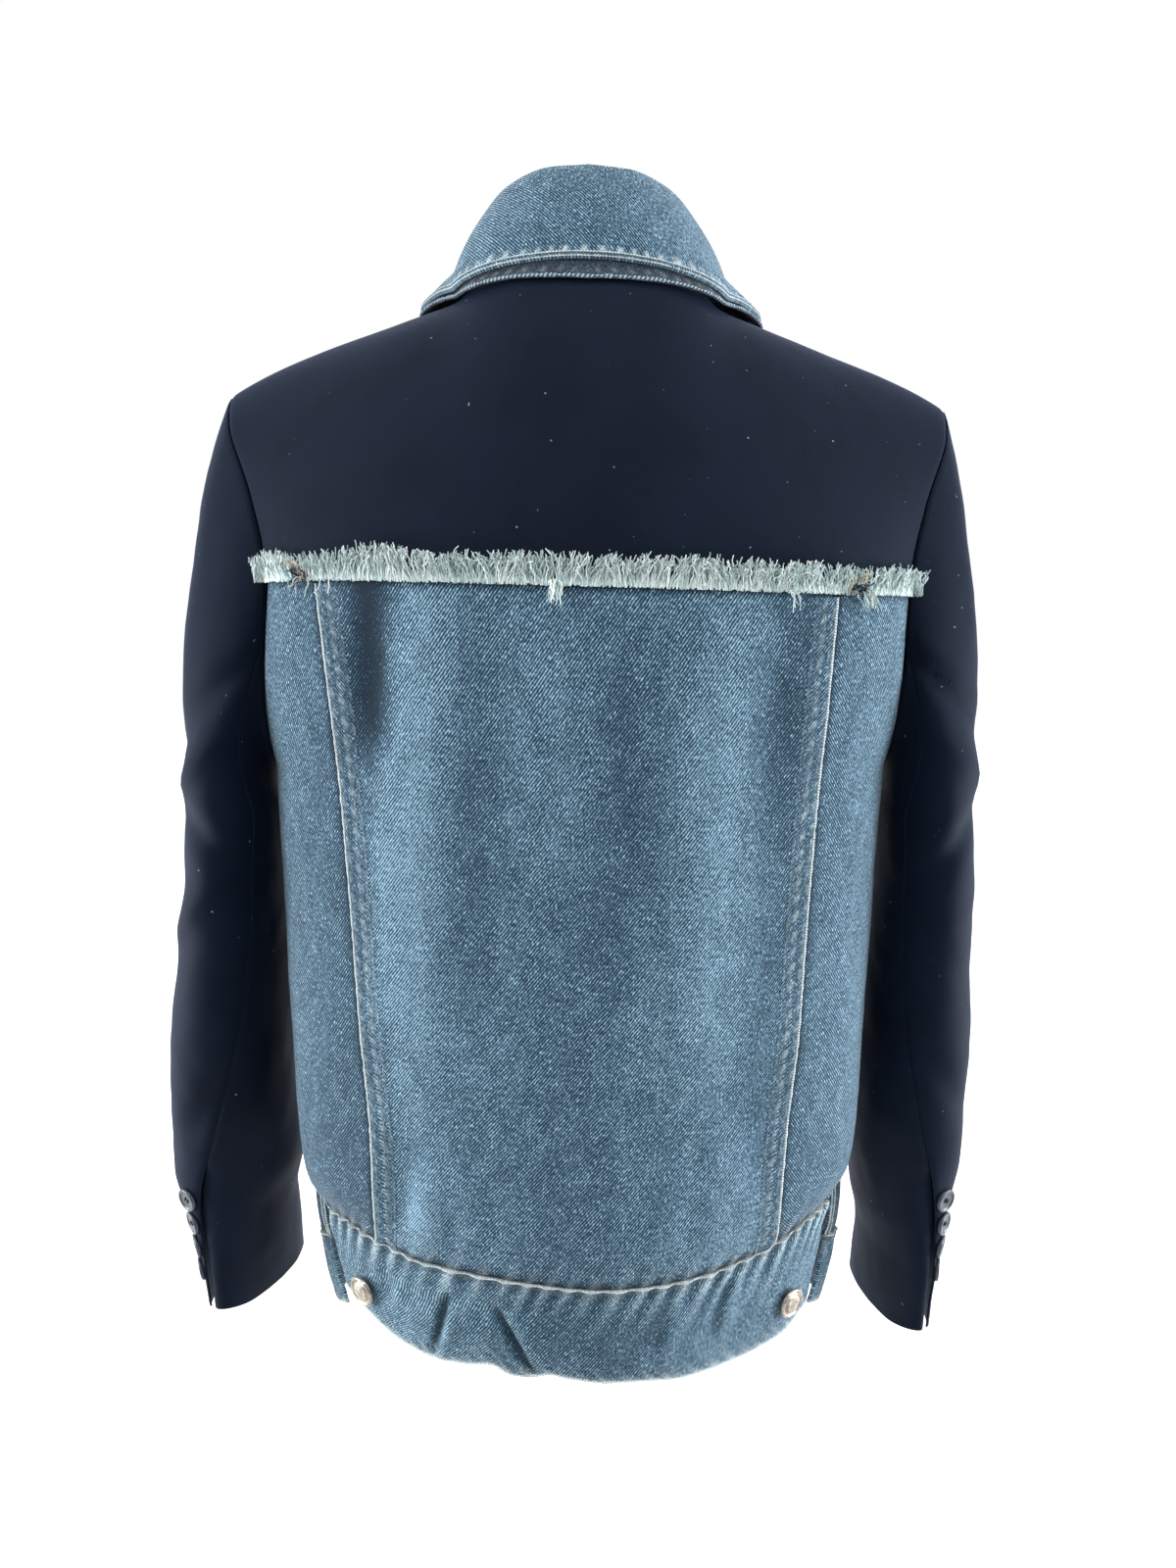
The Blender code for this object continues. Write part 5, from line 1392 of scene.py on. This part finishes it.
# Starts a tree over paths: gives the tree, what it is given and the paths as a curve
def newTree(name, inputs):
    tree = bpy.data.node_groups.new(name, "GeometryNodeTree")
    for way in ("INPUT", "OUTPUT"):
        tree.interface.new_socket("Geometry", in_out=way, socket_type="NodeSocketGeometry")
    for label, value in inputs.items():
        socket = tree.interface.new_socket(label, in_out="INPUT", socket_type=socketKinds[type(value)])
        if value is not None:
            socket.default_value = value
    given = tree.nodes.new("NodeGroupInput").outputs
    return tree, given, addNode(tree, "GeometryNodeMeshToCurve", {"Mesh": given["Geometry"]})


def finishTree(tree, geometry, finish):
    real = addNode(tree, "GeometryNodeRealizeInstances", (geometry,))
    smooth = addNode(tree, "GeometryNodeSetShadeSmooth", (real,))
    painted = addNode(tree, "GeometryNodeSetMaterial", {"Geometry": smooth, "Material": finish})
    setInputs(tree.nodes.new("NodeGroupOutput"), (painted,))
    return tree


def tubeAlong(tree, curve, radius, profile):
    sized = addNode(tree, "GeometryNodeSetCurveRadius", {"Curve": curve, "Radius": radius})
    tube = addNode(tree, "GeometryNodeCurveToMesh",
                   {"Curve": sized, "Profile Curve": profile, "Fill Caps": True})
    if "Scale" in tube.node.inputs:
        setInputs(tube.node, {"Scale": addNode(tree, "GeometryNodeInputRadius")})
    return tube


# Rows of stitches: each is a low bar of thread that sinks into the cloth at both ends
def stitchTree():
    tree, given, curve = newTree("stitch rows", {
        "Pitch": 0.0032, "Length": 0.0026, "Thread": 0.00045, "Seed": 3, "Thread finish": None,
    })
    even = addNode(tree, "GeometryNodeResampleCurve", {"Curve": curve, "Length": given["Pitch"]},
                   mode="LENGTH")
    bar = addNode(tree, "GeometryNodeMeshUVSphere", {"Segments": 7, "Rings": 5, "Radius": 0.5})
    size = addNode(tree, "CombineXYZ", (given["Length"], given["Thread"], given["Thread"]))
    facing = addNode(tree, "GeometryNodeInputNamedAttribute", {"Name": "facing"}, "Attribute",
                     data_type="FLOAT_VECTOR")
    axes = {"Primary Axis": addNode(tree, "GeometryNodeInputTangent"), "Secondary Axis": facing}
    turn = addNode(tree, "FunctionNodeAxesToRotation", axes, primary_axis="X", secondary_axis="Z")
    shade = addNode(tree, "FunctionNodeRandomValue", {2: -0.12, 3: 0.12, "Seed": given["Seed"]}, 1,
                    data_type="FLOAT")
    shaded = addNode(tree, "GeometryNodeStoreNamedAttribute",
                     {"Geometry": even, "Name": "shade", "Value": shade}, data_type="FLOAT")
    placed = addNode(tree, "GeometryNodeInstanceOnPoints", {
        "Points": shaded, "Instance": bar, "Rotation": turn, "Scale": size,
    })
    return finishTree(tree, placed, given["Thread finish"])


# A raw or rubbed edge: a rope of yarn along a path, uneven in thickness, striped by its twist
def edgeTree():
    tree, given, curve = newTree("rubbed edges", {
        "Radius": 0.0006, "Unevenness": 0.25, "Step": 0.0012, "Sides": 7, "Yarn finish": None,
    })
    even = addNode(tree, "GeometryNodeResampleCurve", {"Curve": curve, "Length": given["Step"]},
                   mode="LENGTH")
    circle = addNode(tree, "GeometryNodeCurvePrimitiveCircle", {"Resolution": given["Sides"], "Radius": 1.0})
    along, around = (
        addNode(tree, "GeometryNodeStoreNamedAttribute", {
            "Geometry": geometry, "Name": label,
            "Value": addNode(tree, "GeometryNodeSplineParameter", out=measure),
        }, data_type="FLOAT")
        for geometry, label, measure in ((even, "along", "Length"), (circle, "around", "Factor")))
    lumps = addNode(tree, "TexNoise", {
        "Vector": addNode(tree, "GeometryNodeInputPosition"), "Scale": 380.0, "Detail": 1.0,
    })
    swell = addNode(tree, "MapRange", (lumps, 0.3, 0.7, -1.0, 1.0), clamp=False)
    swing = addNode(tree, "Math", (swell, given["Unevenness"], 1.0), operation="MULTIPLY_ADD")
    radius = addNode(tree, "Math", (swing, given["Radius"]), operation="MULTIPLY")
    return finishTree(tree, tubeAlong(tree, along, radius, around), given["Yarn finish"])


# One loose yarn. What chance gives it: an addition to the seed, the least and the most.
yarnChances = {
    "sunk": (6, -0.0016, 0.0005), "stray": (1, -1.0, 1.0), "stray2": (2, -1.0, 1.0), "grow": (3, -1.0, 1.0),
    "luck": (5, 0.0, 1.0), "shade": (4, -0.50, 0.40),
}
yarnForm = {
    "points": 9, "sides": 5, "bendPower": 1.6, "crimp": 0.0078, "crimpFine": 900.0, "crimpClimb": 3.4,
    "limpness": 0.85, "sink": -1.9, "sinkPower": 1.7, "hang": 0.0052, "hangPower": 0.6,
    "slack": -0.55, "reach": 0.6, "reachSpread": 0.7, "thick": 0.5, "taper": -0.14,
}


# Loose yarns that stand up from a line. The line's points say how tall they stand, how they lean,
# how far they droop and how pale they are.
def fringeTree():
    inputs = {
        "Yarns": 1000, "Length": 0.0126, "Spread": 0.22, "Clump size": 0.0050, "Clump lean": 0.0085,
        "Stray lean": 0.0042, "Forward": 0.0044, "Thread": 0.00074, "Seed": 11, "Yarn finish": None,
    }
    tree, given, curve = newTree("loose yarns", inputs)
    known = {**yarnForm, **{label: given[label] for label in inputs}}
    for label in ("tone", "tall", "lean", "droop", "stray", "stray2", "grow", "luck", "root", "facing"):
        kind = "FLOAT_VECTOR" if label in ("root", "facing") else "FLOAT"
        known[label] = addNode(tree, "GeometryNodeInputNamedAttribute", {"Name": label}, "Attribute",
                               data_type=kind)

    # chance is drawn once for each yarn and kept on its points
    drawn = {}
    for label, (extra, least, most) in yarnChances.items():
        seed = addNode(tree, "Math", (given["Seed"], extra), operation="ADD")
        drawn[label] = addNode(tree, "FunctionNodeRandomValue", {2: least, 3: most, "Seed": seed}, 1,
                               data_type="FLOAT")
    sunk = addNode(tree, "CombineXYZ", {"Z": drawn.pop("sunk")})
    spot = addNode(tree, "GeometryNodeInputPosition")
    drawn["root"] = addNode(tree, "VectorMath", (spot, sunk), operation="ADD")
    drawn["shade"] = addNode(tree, "Math", (known["tone"], drawn["shade"]), operation="ADD")
    spots = addNode(tree, "GeometryNodeResampleCurve", {"Curve": curve, "Count": given["Yarns"]})
    for label, value in drawn.items():
        spots = addNode(tree, "GeometryNodeStoreNamedAttribute",
                        {"Geometry": spots, "Name": label, "Value": value},
                        data_type="FLOAT_VECTOR" if label == "root" else "FLOAT")
    strand = addNode(tree, "GeometryNodeCurvePrimitiveLine", {"Start": (0, 0, 0), "End": (0, 0, 0.0001)})
    strand = addNode(tree, "GeometryNodeResampleCurve", {"Curve": strand, "Count": yarnForm["points"]})
    placed = addNode(tree, "GeometryNodeInstanceOnPoints", {"Points": spots, "Instance": strand})
    strands = addNode(tree, "GeometryNodeRealizeInstances", (placed,))

    # how far each point of a yarn stands up, aside and forward
    known["share"] = addNode(tree, "GeometryNodeSplineParameter", out="Factor")
    fine = addNode(tree, "Math", (1.0, given["Clump size"]), operation="DIVIDE")
    known["clump"] = addNode(tree, "TexNoise", {"Vector": known["root"], "Scale": fine, "Detail": 1.0})
    for label, operation, *parts in (
        ("grown", "MULTIPLY_ADD", "grow", "Spread", 1.0),
        ("long", "MULTIPLY", "Length", "tall"),
        ("long", "MULTIPLY", "long", "grown"),
        ("limp", "LESS_THAN", "luck", "droop"),
        ("limp", "MULTIPLY", "limp", "limpness"),
        ("fall", "POWER", "share", "sinkPower"),
        ("fall", "MULTIPLY", "fall", "limp"),
        ("fall", "MULTIPLY_ADD", "fall", "sink", "share"),
        ("rise", "MULTIPLY", "long", "fall"),
        ("bend", "POWER", "share", "bendPower"),
        ("aside", "MULTIPLY_ADD", "clump", 4.0, -2.0),
        ("aside", "MULTIPLY", "aside", "Clump lean"),
        ("aside", "MULTIPLY_ADD", "stray", "Stray lean", "aside"),
        ("aside", "ADD", "aside", "lean"),
        ("stiff", "MULTIPLY_ADD", "limp", "slack", 1.0),
        ("aside", "MULTIPLY", "aside", "stiff"),
        ("aside", "MULTIPLY", "aside", "bend"),
        ("forward", "MULTIPLY_ADD", "stray2", "reachSpread", "reach"),
        ("forward", "MULTIPLY", "forward", "Forward"),
        ("forward", "MULTIPLY", "forward", "bend"),
        ("out", "POWER", "share", "hangPower"),
        ("out", "MULTIPLY", "out", "hang"),
        ("forward", "MULTIPLY_ADD", "out", "limp", "forward"),
        ("curl", "MULTIPLY", "share", "crimp"),
        ("climb", "MULTIPLY", "share", "crimpClimb"),
        ("radius", "MULTIPLY_ADD", "share", "taper", "thick"),
        ("radius", "MULTIPLY", "radius", "Thread"),
    ):
        values = [known[part] if isinstance(part, str) else part for part in parts]
        known[label] = addNode(tree, "Math", values, operation=operation)
    climb, rise = (addNode(tree, "CombineXYZ", {"Z": known[label]}) for label in ("climb", "rise"))
    crimped = addNode(tree, "VectorMath", (known["root"], (yarnForm["crimpFine"],) * 3, climb),
                      operation="MULTIPLY_ADD")
    wander = addNode(tree, "TexNoise", {"Vector": crimped, "Scale": 1.0, "Detail": 1.0}, "Color")
    crimp = addNode(tree, "VectorMath", (wander, (-0.5, -0.5, -0.5)), operation="ADD")
    across = addNode(tree, "VectorMath", ((0.0, 0.0, 1.0), known["facing"]), operation="CROSS_PRODUCT")
    place = addNode(tree, "VectorMath", (known["root"], rise), operation="ADD")
    for direction, label in ((across, "aside"), (known["facing"], "forward"), (crimp, "curl")):
        place = addNode(tree, "VectorMath", (direction, known[label], place), operation="MULTIPLY_ADD")
    shaped = addNode(tree, "GeometryNodeSetPosition", {"Geometry": strands, "Position": place})
    circle = addNode(tree, "GeometryNodeCurvePrimitiveCircle",
                     {"Resolution": yarnForm["sides"], "Radius": 1.0})
    return finishTree(tree, tubeAlong(tree, shaped, known["radius"], circle), given["Yarn finish"])


trees = {"stitches": stitchTree(), "edges": edgeTree(), "yarns": fringeTree()}


# Runs a tree over paths and keeps the result as a plain mesh, sewn on a cloth. A path is points,
# facings and, where the tree wants them, more values for each point.
def alongPaths(name, kind, paths, settings, on, replaces=()):
    mesh = bpy.data.meshes.new(name)
    edges, begin = [], 0
    for path in paths:
        edges += [(begin + i, begin + i + 1) for i in range(len(path[0]) - 1)]
        begin += len(path[0])
    mesh.from_pydata(np.concatenate([path[0] for path in paths]).tolist(), edges, [])
    facing = np.concatenate([path[1] for path in paths])
    mesh.attributes.new("facing", "FLOAT_VECTOR", "POINT").data.foreach_set("vector", facing.ravel())
    for label in paths[0][2] if len(paths[0]) > 2 else ():
        values = np.concatenate([path[2][label] for path in paths])
        mesh.attributes.new(label, "FLOAT", "POINT").data.foreach_set("value", values)
    piece = newObject(name, mesh)
    modifier = piece.modifiers.new(kind, "NODES")
    modifier.node_group = trees[kind]
    for item in trees[kind].interface.items_tree:
        if item.name in settings:
            modifier[item.identifier] = settings[item.name]
    done = bpy.data.meshes.new_from_object(piece.evaluated_get(bpy.context.evaluated_depsgraph_get()))
    piece.modifiers.remove(modifier)
    piece.data = done
    done.name = name
    bpy.data.meshes.remove(mesh)
    keepPiece(piece)
    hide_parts(*replaces)
    sewnOn.setdefault(on, []).append(piece)


# A path over the body's cloth, so high over its plain form
def bodyPath(face, acrossOf, heights, riseOf, lift):
    across = acrossOf(heights)
    outer, facing = skinOf(face, across, heights, lift + riseOf(face, across, heights))
    return stand(outer), facing


def fallHeights(top, low, step=0.0012):
    return np.linspace(top, low, max(2, round(abs(top - low) / step)))


for name, side in sides:
    riseOf = fellLooks(name, side)[0]
    heights = fallHeights(levels["fringe"] - 0.0036, levels["backBand"] + 0.0006)
    rows = [bodyPath(1, princess(name, side, place), heights, riseOf, cloths["fellLift"] + 0.00008)
            for place in fell["rows"]]
    alongPaths(f"felled_seam_{name}_stitches", "stitches", rows,
               {"Thread finish": blueThread, "Pitch": 0.0031, "Seed": 4 + side}, f"felled_seam_{name}_cloth")
    edge = bodyPath(1, princess(name, side, 0.0002), heights, riseOf, cloths["fellLift"] - 0.0004)
    alongPaths(f"felled_seam_{name}_edge", "edges", [edge], {"Yarn finish": paleEdge, "Radius": 0.00080},
               f"felled_seam_{name}_cloth")

# Waistband: rubbed cord along its top, a row of stitches below it, the same again at the hem
bandShares = {1: np.linspace(-0.997, 0.997, 300), -1: np.linspace(-0.09, 0.997, 170)}


def bandPaths(face, side=1):
    share = bandShares[face]

    def path(height, lift):
        return bodyPath(face, lambda heights: slit(face, side)(heights) * share,
                        np.full(share.shape, height), overLap(bandRise, side), cloths["bandLift"] + lift)

    top, hem = bandTop(face), hemOf(face)
    rows = [path(top - bandRows["top"], 0.0001), path(hem + bandRows["hem"], 0.0001)]
    return rows, [path(top - 0.0004, -0.0003), path(hem + 0.0001, -0.0005)]


rows, cords = bandPaths(1)
alongPaths("back_band_stitches", "stitches", rows, {"Thread finish": blueThread}, "back_band_cloth")
for label, cord, looks in (
    ("top", cords[:1], {"Radius": 0.00033, "Unevenness": 0.6}), ("hem", cords[1:], {"Radius": 0.0008}),
):
    alongPaths(f"back_band_{label}_edge", "edges", cord, {"Yarn finish": paleEdge, **looks}, "back_band_cloth")
for name, side in sides:
    rows, cords = bandPaths(-1, side)
    cloth = f"front_band_{name}_cloth"
    alongPaths(f"front_band_{name}_stitches", "stitches", rows, {"Thread finish": blueThread}, cloth)
    alongPaths(f"front_band_{name}_edges", "edges", cords,
               {"Yarn finish": paleEdge, "Radius": 0.0005, "Unevenness": 0.4}, cloth)

# Side slits: two rubbed lines down the front part's edge, one down the back part's
slitCords = (  # face, part, places, lift, finish
    (-1, "front", (0.0006, 0.0030), 0.0001, paleEdge),
    (1, "back", (0.0008,), -0.0002, blueEdge),
)
for name, side in sides:
    for face, part, places, lift, finish in slitCords:
        heights = fallHeights(levels["slitTop"], bandTop(face) + 0.0008)
        cords = [bodyPath(face, slit(face, side, place), heights, panelRise, lift) for place in places]
        alongPaths(f"{part}_panel_{name}_slit_edge", "edges", cords,
                   {"Yarn finish": finish, "Radius": 0.0006}, f"{part}_panel_{name}_cloth")


# A path over a collar leaf at a height above its edge
def leafPath(skin, facing, up, level, lift):
    orders = np.argsort(up, axis=0).T
    spots, outs = (
        np.array([[np.interp(level, up[order, j], surface[order, j, k]) for k in range(3)]
                  for j, order in enumerate(orders)])
        for surface in (skin, facing))
    return stand(spots + outs * lift), outs


leaf = leafSkin, leafOut, leafUp
alongPaths("collar_leaf_edge", "edges", [leafPath(*leaf, 0.0002, -0.0005), leafPath(*leaf, 0.0019, -0.0002)],
           {"Yarn finish": paleEdge, "Radius": 0.00046}, "collar_leaf_cloth")
alongPaths("collar_leaf_stitches", "stitches", [leafPath(*leaf, leafWork["row"], 0.0001)],
           {"Thread finish": blueThread}, "collar_leaf_cloth")
alongPaths("collar_under_leaf_edge", "edges", [leafPath(underSkin, underOut, underUp, 0.0003, -0.0004)],
           {"Yarn finish": blueEdge, "Radius": 0.00085, "Unevenness": 0.35}, "collar_under_leaf_cloth")

# The fringe: weft yarns left standing where the denim was cut off, over a line of navy stitches
fringe = {
    "yarns": 2100, "overhang": 0.0045, "strip": 0.0014, "thick": 0.0008, "top": 0.0002, "rootDown": 0.0008,
    "stitchDown": 0.0021, "lift": 0.0001,
}
tufts = {"places": (-0.665, 0.735), "half": 0.035, "droop": 0.15, "thread": 0.0008}
tuftKinds = (("cream", creamYarn, 23, 0.75, 12), ("blue", indigoYarn, 31, 0.45, 18))  # seed, tall, yarns
# Place along the back from -1, the wearer's right, to 1: how tall, leaning, drooping and pale
fringeMarks = Table(
    "across  tall   lean     droop  tone",
    (-1.00, 0.85, -0.0030, 0.00, 0.05),
    (-0.86, 0.95, -0.0010, 0.00, 0.00),
    (-0.725, 0.95, 0.0010, 0.00, -0.05),
    (-0.705, 0.90, 0.0020, 0.50, -0.15),
    (-0.675, 0.85, 0.0010, 0.40, -0.35),
    (-0.63, 0.90, -0.0010, 0.00, -0.10),
    (-0.50, 1.00, -0.0015, 0.00, 0.00),
    (-0.45, 1.00, 0.0000, 0.00, 0.00),
    (-0.434, 1.00, 0.0010, 0.45, 0.00),
    (-0.418, 0.95, 0.0010, 0.00, 0.00),
    (-0.20, 1.00, 0.0020, 0.00, 0.00),
    (0.034, 1.00, 0.0005, 0.00, 0.00),
    (0.046, 1.05, 0.0010, 0.60, 0.10),
    (0.058, 1.05, -0.0010, 0.60, 0.10),
    (0.066, 1.00, -0.0005, 0.00, 0.00),
    (0.30, 0.95, -0.0015, 0.00, 0.00),
    (0.47, 1.20, 0.0010, 0.00, 0.05),
    (0.60, 1.00, 0.0015, 0.02, 0.00),
    (0.70, 0.90, 0.0010, 0.03, -0.10),
    (0.745, 0.85, -0.0010, 0.12, -0.35),
    (0.79, 0.95, 0.0005, 0.02, 0.05),
    (0.93, 1.05, 0.0015, 0.00, 0.15),
    (1.00, 0.90, 0.0035, 0.00, 0.10),
)
across = np.linspace(-1, 1, 700)
height = np.full(across.shape, levels["fringe"])
lift = cloths["layGap"] + fringe["thick"]
line = body(1, across, height, lift + softDrape(ring(1, across, height)))
facing = ringFacing(1, across, height)
reach = np.array([fringe["overhang"], 0.6 * fringe["overhang"], 0])
line = np.concatenate([[line[0] + reach * (-1, 1, 1)], line, [line[-1] + reach]])
facing = np.concatenate([facing[:1], facing, facing[-1:]])
across = np.concatenate([[-1.0], across, [1.0]])
values = {label: fringeMarks(label, across) for label in ("tall", "lean", "droop", "tone")}
root = stand(line - point(0, 0, fringe["rootDown"]) + facing * fringe["lift"])
alongPaths("frayed_strip_yarns", "yarns", [(root, facing, values)],
           {"Yarn finish": fringeYarn, "Yarns": fringe["yarns"]}, "frayed_strip_tape",
           replaces=["frayed_strip"])

# A few cream yarns and dark blue ends where the seams of the back run up into the fringe
for label, finish, seed, tall, count in tuftKinds:
    paths = []
    for place in tufts["places"]:
        spots = np.flatnonzero(np.abs(across - place) < tufts["half"])
        none = 0 * across[spots]
        few = {"tall": tall + none, "lean": none, "droop": tufts["droop"] + none, "tone": none}
        paths.append((root[spots] + facing[spots] * tufts["thread"], facing[spots], few))
    alongPaths(f"frayed_strip_{label}_yarns", "yarns", paths,
               {"Yarn finish": finish, "Yarns": count, "Seed": seed, "Thread": tufts["thread"]},
               "frayed_strip_tape")

# The narrow tape that the yarns stand from, turned under and sewn down with navy thread
rowsDown = stepsAlong(fringe["top"], fringe["top"] - fringe["strip"], 0.0010, 0.0003)
tape = line[None, ::2] + point(0, 0, rowsDown)[:, None]
clothWall("frayed_strip_tape", tape, np.broadcast_to(facing[::2], tape.shape), fringe["thick"], tapeFaces,
          free="top bottom left right", fade=-0.20)
alongPaths("frayed_strip_stitches", "stitches",
           [(stand(line - point(0, 0, fringe["stitchDown"]) - facing * (lift - fringe["lift"])), facing)],
           {"Thread finish": navyThread, "Pitch": 0.0026, "Length": 0.0024, "Thread": 0.00042},
           "frayed_strip_tape")

print("stage: buttons")
tack = {"radius": 0.0093, "tall": 0.0050, "height": -0.5780, "across": 0.556, "sides": 44, "sharp": 50}
tackProfile = (  # radius and height, as shares
    (0.0, 0.0), (0.45, 0.0), (0.45, 0.34), (0.90, 0.38), (0.97, 0.44), (1.0, 0.56), (0.99, 0.70),
    (0.95, 0.82), (0.89, 0.88), (0.83, 0.85), (0.78, 0.76), (0.74, 0.70), (0.69, 0.70), (0.65, 0.76),
    (0.60, 0.88), (0.54, 0.94), (0.44, 0.97), (0.25, 0.99), (0.0, 1.0),
)
cuffButton = {
    "radius": 0.0078, "tall": 0.0028, "sides": 40, "sharp": 45, "pitch": 0.0166, "first": -0.541,
    "inset": 17, "sink": 0.0006, "roll": 0.35, "hole": 0.0008, "holeOut": 0.0016, "holeSides": 14,
}
cuffProfile = (
    (0.0, 0.0), (0.78, 0.0), (0.92, 0.14), (0.99, 0.36), (1.0, 0.56), (0.985, 0.78), (0.94, 0.94),
    (0.88, 1.0), (0.81, 0.98), (0.75, 0.86), (0.70, 0.76), (0.62, 0.70), (0.40, 0.67), (0.0, 0.66),
)


def lathe(profile, radius, tall, sides):
    vertices = [(0, 0, profile[0][1] * tall)]
    angles = np.linspace(0, 2 * math.pi, sides + 1)[:-1]
    for out, up in profile[1:-1]:
        vertices += [(radius * out * math.cos(a), radius * out * math.sin(a), up * tall) for a in angles]
    vertices.append((0, 0, profile[-1][1] * tall))
    last, rings, faces = len(vertices) - 1, len(profile) - 2, []
    for i in range(sides):
        j = (i + 1) % sides
        faces += [(0, 1 + j, 1 + i), (last, last - sides + i, last - sides + j)]
        for k in range(rings - 1):
            a, b = 1 + k * sides, 1 + (k + 1) * sides
            faces.append((a + i, a + j, b + j, b + i))
    return np.array(vertices), faces


# Sets a button down on a cloth. shells are pairs of faces and their finish.
def setButton(name, work, look, vertices, shells, spot, facing, on, roll=0.0):
    turn = Vector(facing).normalized().to_track_quat("Z", "Y").to_matrix() @ Matrix.Rotation(roll, 3, "Z")
    placed = vertices @ np.array(turn).T + np.array(spot)
    faces = [face for shell, finish in shells for face in shell]
    piece = newPiece(f"{name}_{work}", placed.tolist(), faces, [finish for shell, finish in shells])
    index = np.repeat(np.arange(len(shells)), [len(shell) for shell, finish in shells])
    piece.data.polygons.foreach_set("material_index", index)
    piece.data.set_sharp_from_angle(angle=math.radians(look["sharp"]))
    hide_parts(name)
    sewnOn.setdefault(on, []).append(piece)


tackPoints, tackFaces = lathe(tackProfile, tack["radius"], tack["tall"], tack["sides"])


def tackButton(name, spot, facing, on):
    setButton(name, "stamped", tack, tackPoints, [(tackFaces, silver)],
              stand(spot + facing * cloths["layGap"]), facing, on)


for name, side in sides:
    u, v = np.array(side * tack["across"]), np.array(tack["height"])
    rise = cloths["bandLift"] + cloths["seamGap"] + float(bandRise(1, u, v))
    tackButton(f"band_button_{name}", *skinOf(1, u, v, rise), "back_band_cloth")
for i, level in enumerate(lapCut["buttons"]):
    u, v = np.array(0.0), np.array(level)
    if level > levels["fringe"]:
        climb = (level - levels["fringe"]) / (neckCut["frontZ"] - levels["fringe"])
        v = np.arcsin(climb ** (1 / yokeCut["climb"])) / (math.pi / 2)
        out = outward(-1, normals(lambda a, b: yoke(-1, a, b), u + 0.02, v))
        out = unit(out * np.array([0, 1, 1]))
        spot = yoke(-1, u, v) + out * lapCut["lift"]
        tackButton(f"front_button_{i + 1}", spot, out, "front_yoke_right_cloth")
    else:
        spot = body(-1, u, v, lapCut["lift"] + float(panelRise(-1, u, v)))
        tackButton(f"front_button_{i + 1}", spot, np.array([0.0, -1.0, 0.0]), "front_panel_right_cloth")

# Cuff button: one is drilled, threaded and then copied to its places
drills = []
vertices, faces = lathe(cuffProfile, cuffButton["radius"], cuffButton["tall"], cuffButton["sides"])
blankMesh = bpy.data.meshes.new("cuff button blank")
blankMesh.from_pydata(vertices.tolist(), [], faces)
blank = newObject("cuff button blank", blankMesh)
for k in range(4):
    angle = math.pi / 4 + math.pi / 2 * k
    centre = point(math.cos(angle), math.sin(angle), 0) * cuffButton["holeOut"]
    bore, boreFaces = lathe(((0, 0), (1, 0), (1, 1), (0, 1)), cuffButton["hole"], 0.006,
                            cuffButton["holeSides"])
    drill = bpy.data.meshes.new(f"drill {k}")
    drill.from_pydata((bore + centre - point(0, 0, 0.0015)).tolist(), [], boreFaces)
    drills.append(newObject(f"drill {k}", drill))
    cut = blank.modifiers.new("hole", "BOOLEAN")
    cut.operation, cut.solver, cut.object = "DIFFERENCE", "EXACT", drills[-1]
drilled = bpy.data.meshes.new_from_object(blank.evaluated_get(bpy.context.evaluated_depsgraph_get()))
buttonPoints = np.array([v.co[:] for v in drilled.vertices])
buttonFaces = [tuple(p.vertices) for p in drilled.polygons]
for item in [blank, *drills]:
    spare = item.data
    bpy.data.objects.remove(item)
    bpy.data.meshes.remove(spare)

# Two bars of thread, each over one pair of holes
bar = {"steps": 8, "sides": 8, "thread": 0.00042, "flat": 1.2, "long": 1.05, "seat": 0.66,
       "rise": 0.0005, "dive": 0.0013}
share, turn = np.meshgrid(np.linspace(-1, 1, bar["steps"] + 1),
                          2 * math.pi * np.arange(bar["sides"]) / bar["sides"], indexing="ij")
reach = cuffButton["holeOut"] * math.sin(math.pi / 4)
up = cuffButton["tall"] * bar["seat"] + bar["rise"] - bar["dive"] * np.abs(share) ** 3
threads, threadFaces = [], []
for hand in (-1, 1):
    start = len(buttonPoints) + len(threads) * share.size
    threads.append(point(hand * reach + bar["thread"] * bar["flat"] * np.cos(turn), share * reach * bar["long"],
                         up + bar["thread"] * np.sin(turn)).reshape(-1, 3))
    first = start + np.arange(bar["sides"])
    last = first + bar["steps"] * bar["sides"]
    for k in range(bar["steps"]):
        a = first + k * bar["sides"]
        b = np.roll(a, -1)
        threadFaces += np.stack([a, a + bar["sides"], b + bar["sides"], b], axis=1).tolist()
    threadFaces += [first.tolist(), last[::-1].tolist()]
sewnButton = np.concatenate([buttonPoints, *threads])
for name, side in sides:
    cuff = sleeves[name][0].along[0]
    mirror = np.array([side, 1, 1])
    for i in range(4):
        level = cuffButton["first"] - cuffButton["pitch"] * i
        down = 1 + (level - levels["capEnd"]) / (cuff - levels["capEnd"])
        angle = sleeveSeams("back", down) - cuffButton["inset"]
        fromBack = np.radians(cuffButton["inset"]) * armRadius
        spot, out = sleeveSkin(name, "top", *(np.array([value]) for value in (angle, down, fromBack)))
        spot = stand((spot[0] - out[0] * cuffButton["sink"]) * mirror)
        setButton(f"cuff_button_{name}_{i + 1}", "turned", cuffButton, sewnButton,
                  [(buttonFaces, navyButton), (threadFaces, navyThread)], spot,
                  out[0] * mirror, f"top_sleeve_{name}_cloth", cuffButton["roll"] * (i - 1.5))

print("stage: sheets")
for piece, flat, area in sheetFacts:
    flat = tuple(max(side, 0.010) for side in flat)
    print(f"{piece.name}: {flat[0]:.3f} x {flat[1]:.3f} m, {area:.4f} m2")

print("triangles:", sum(sum(len(p.vertices) - 2 for p in piece.data.polygons) for piece in pieces.values()))
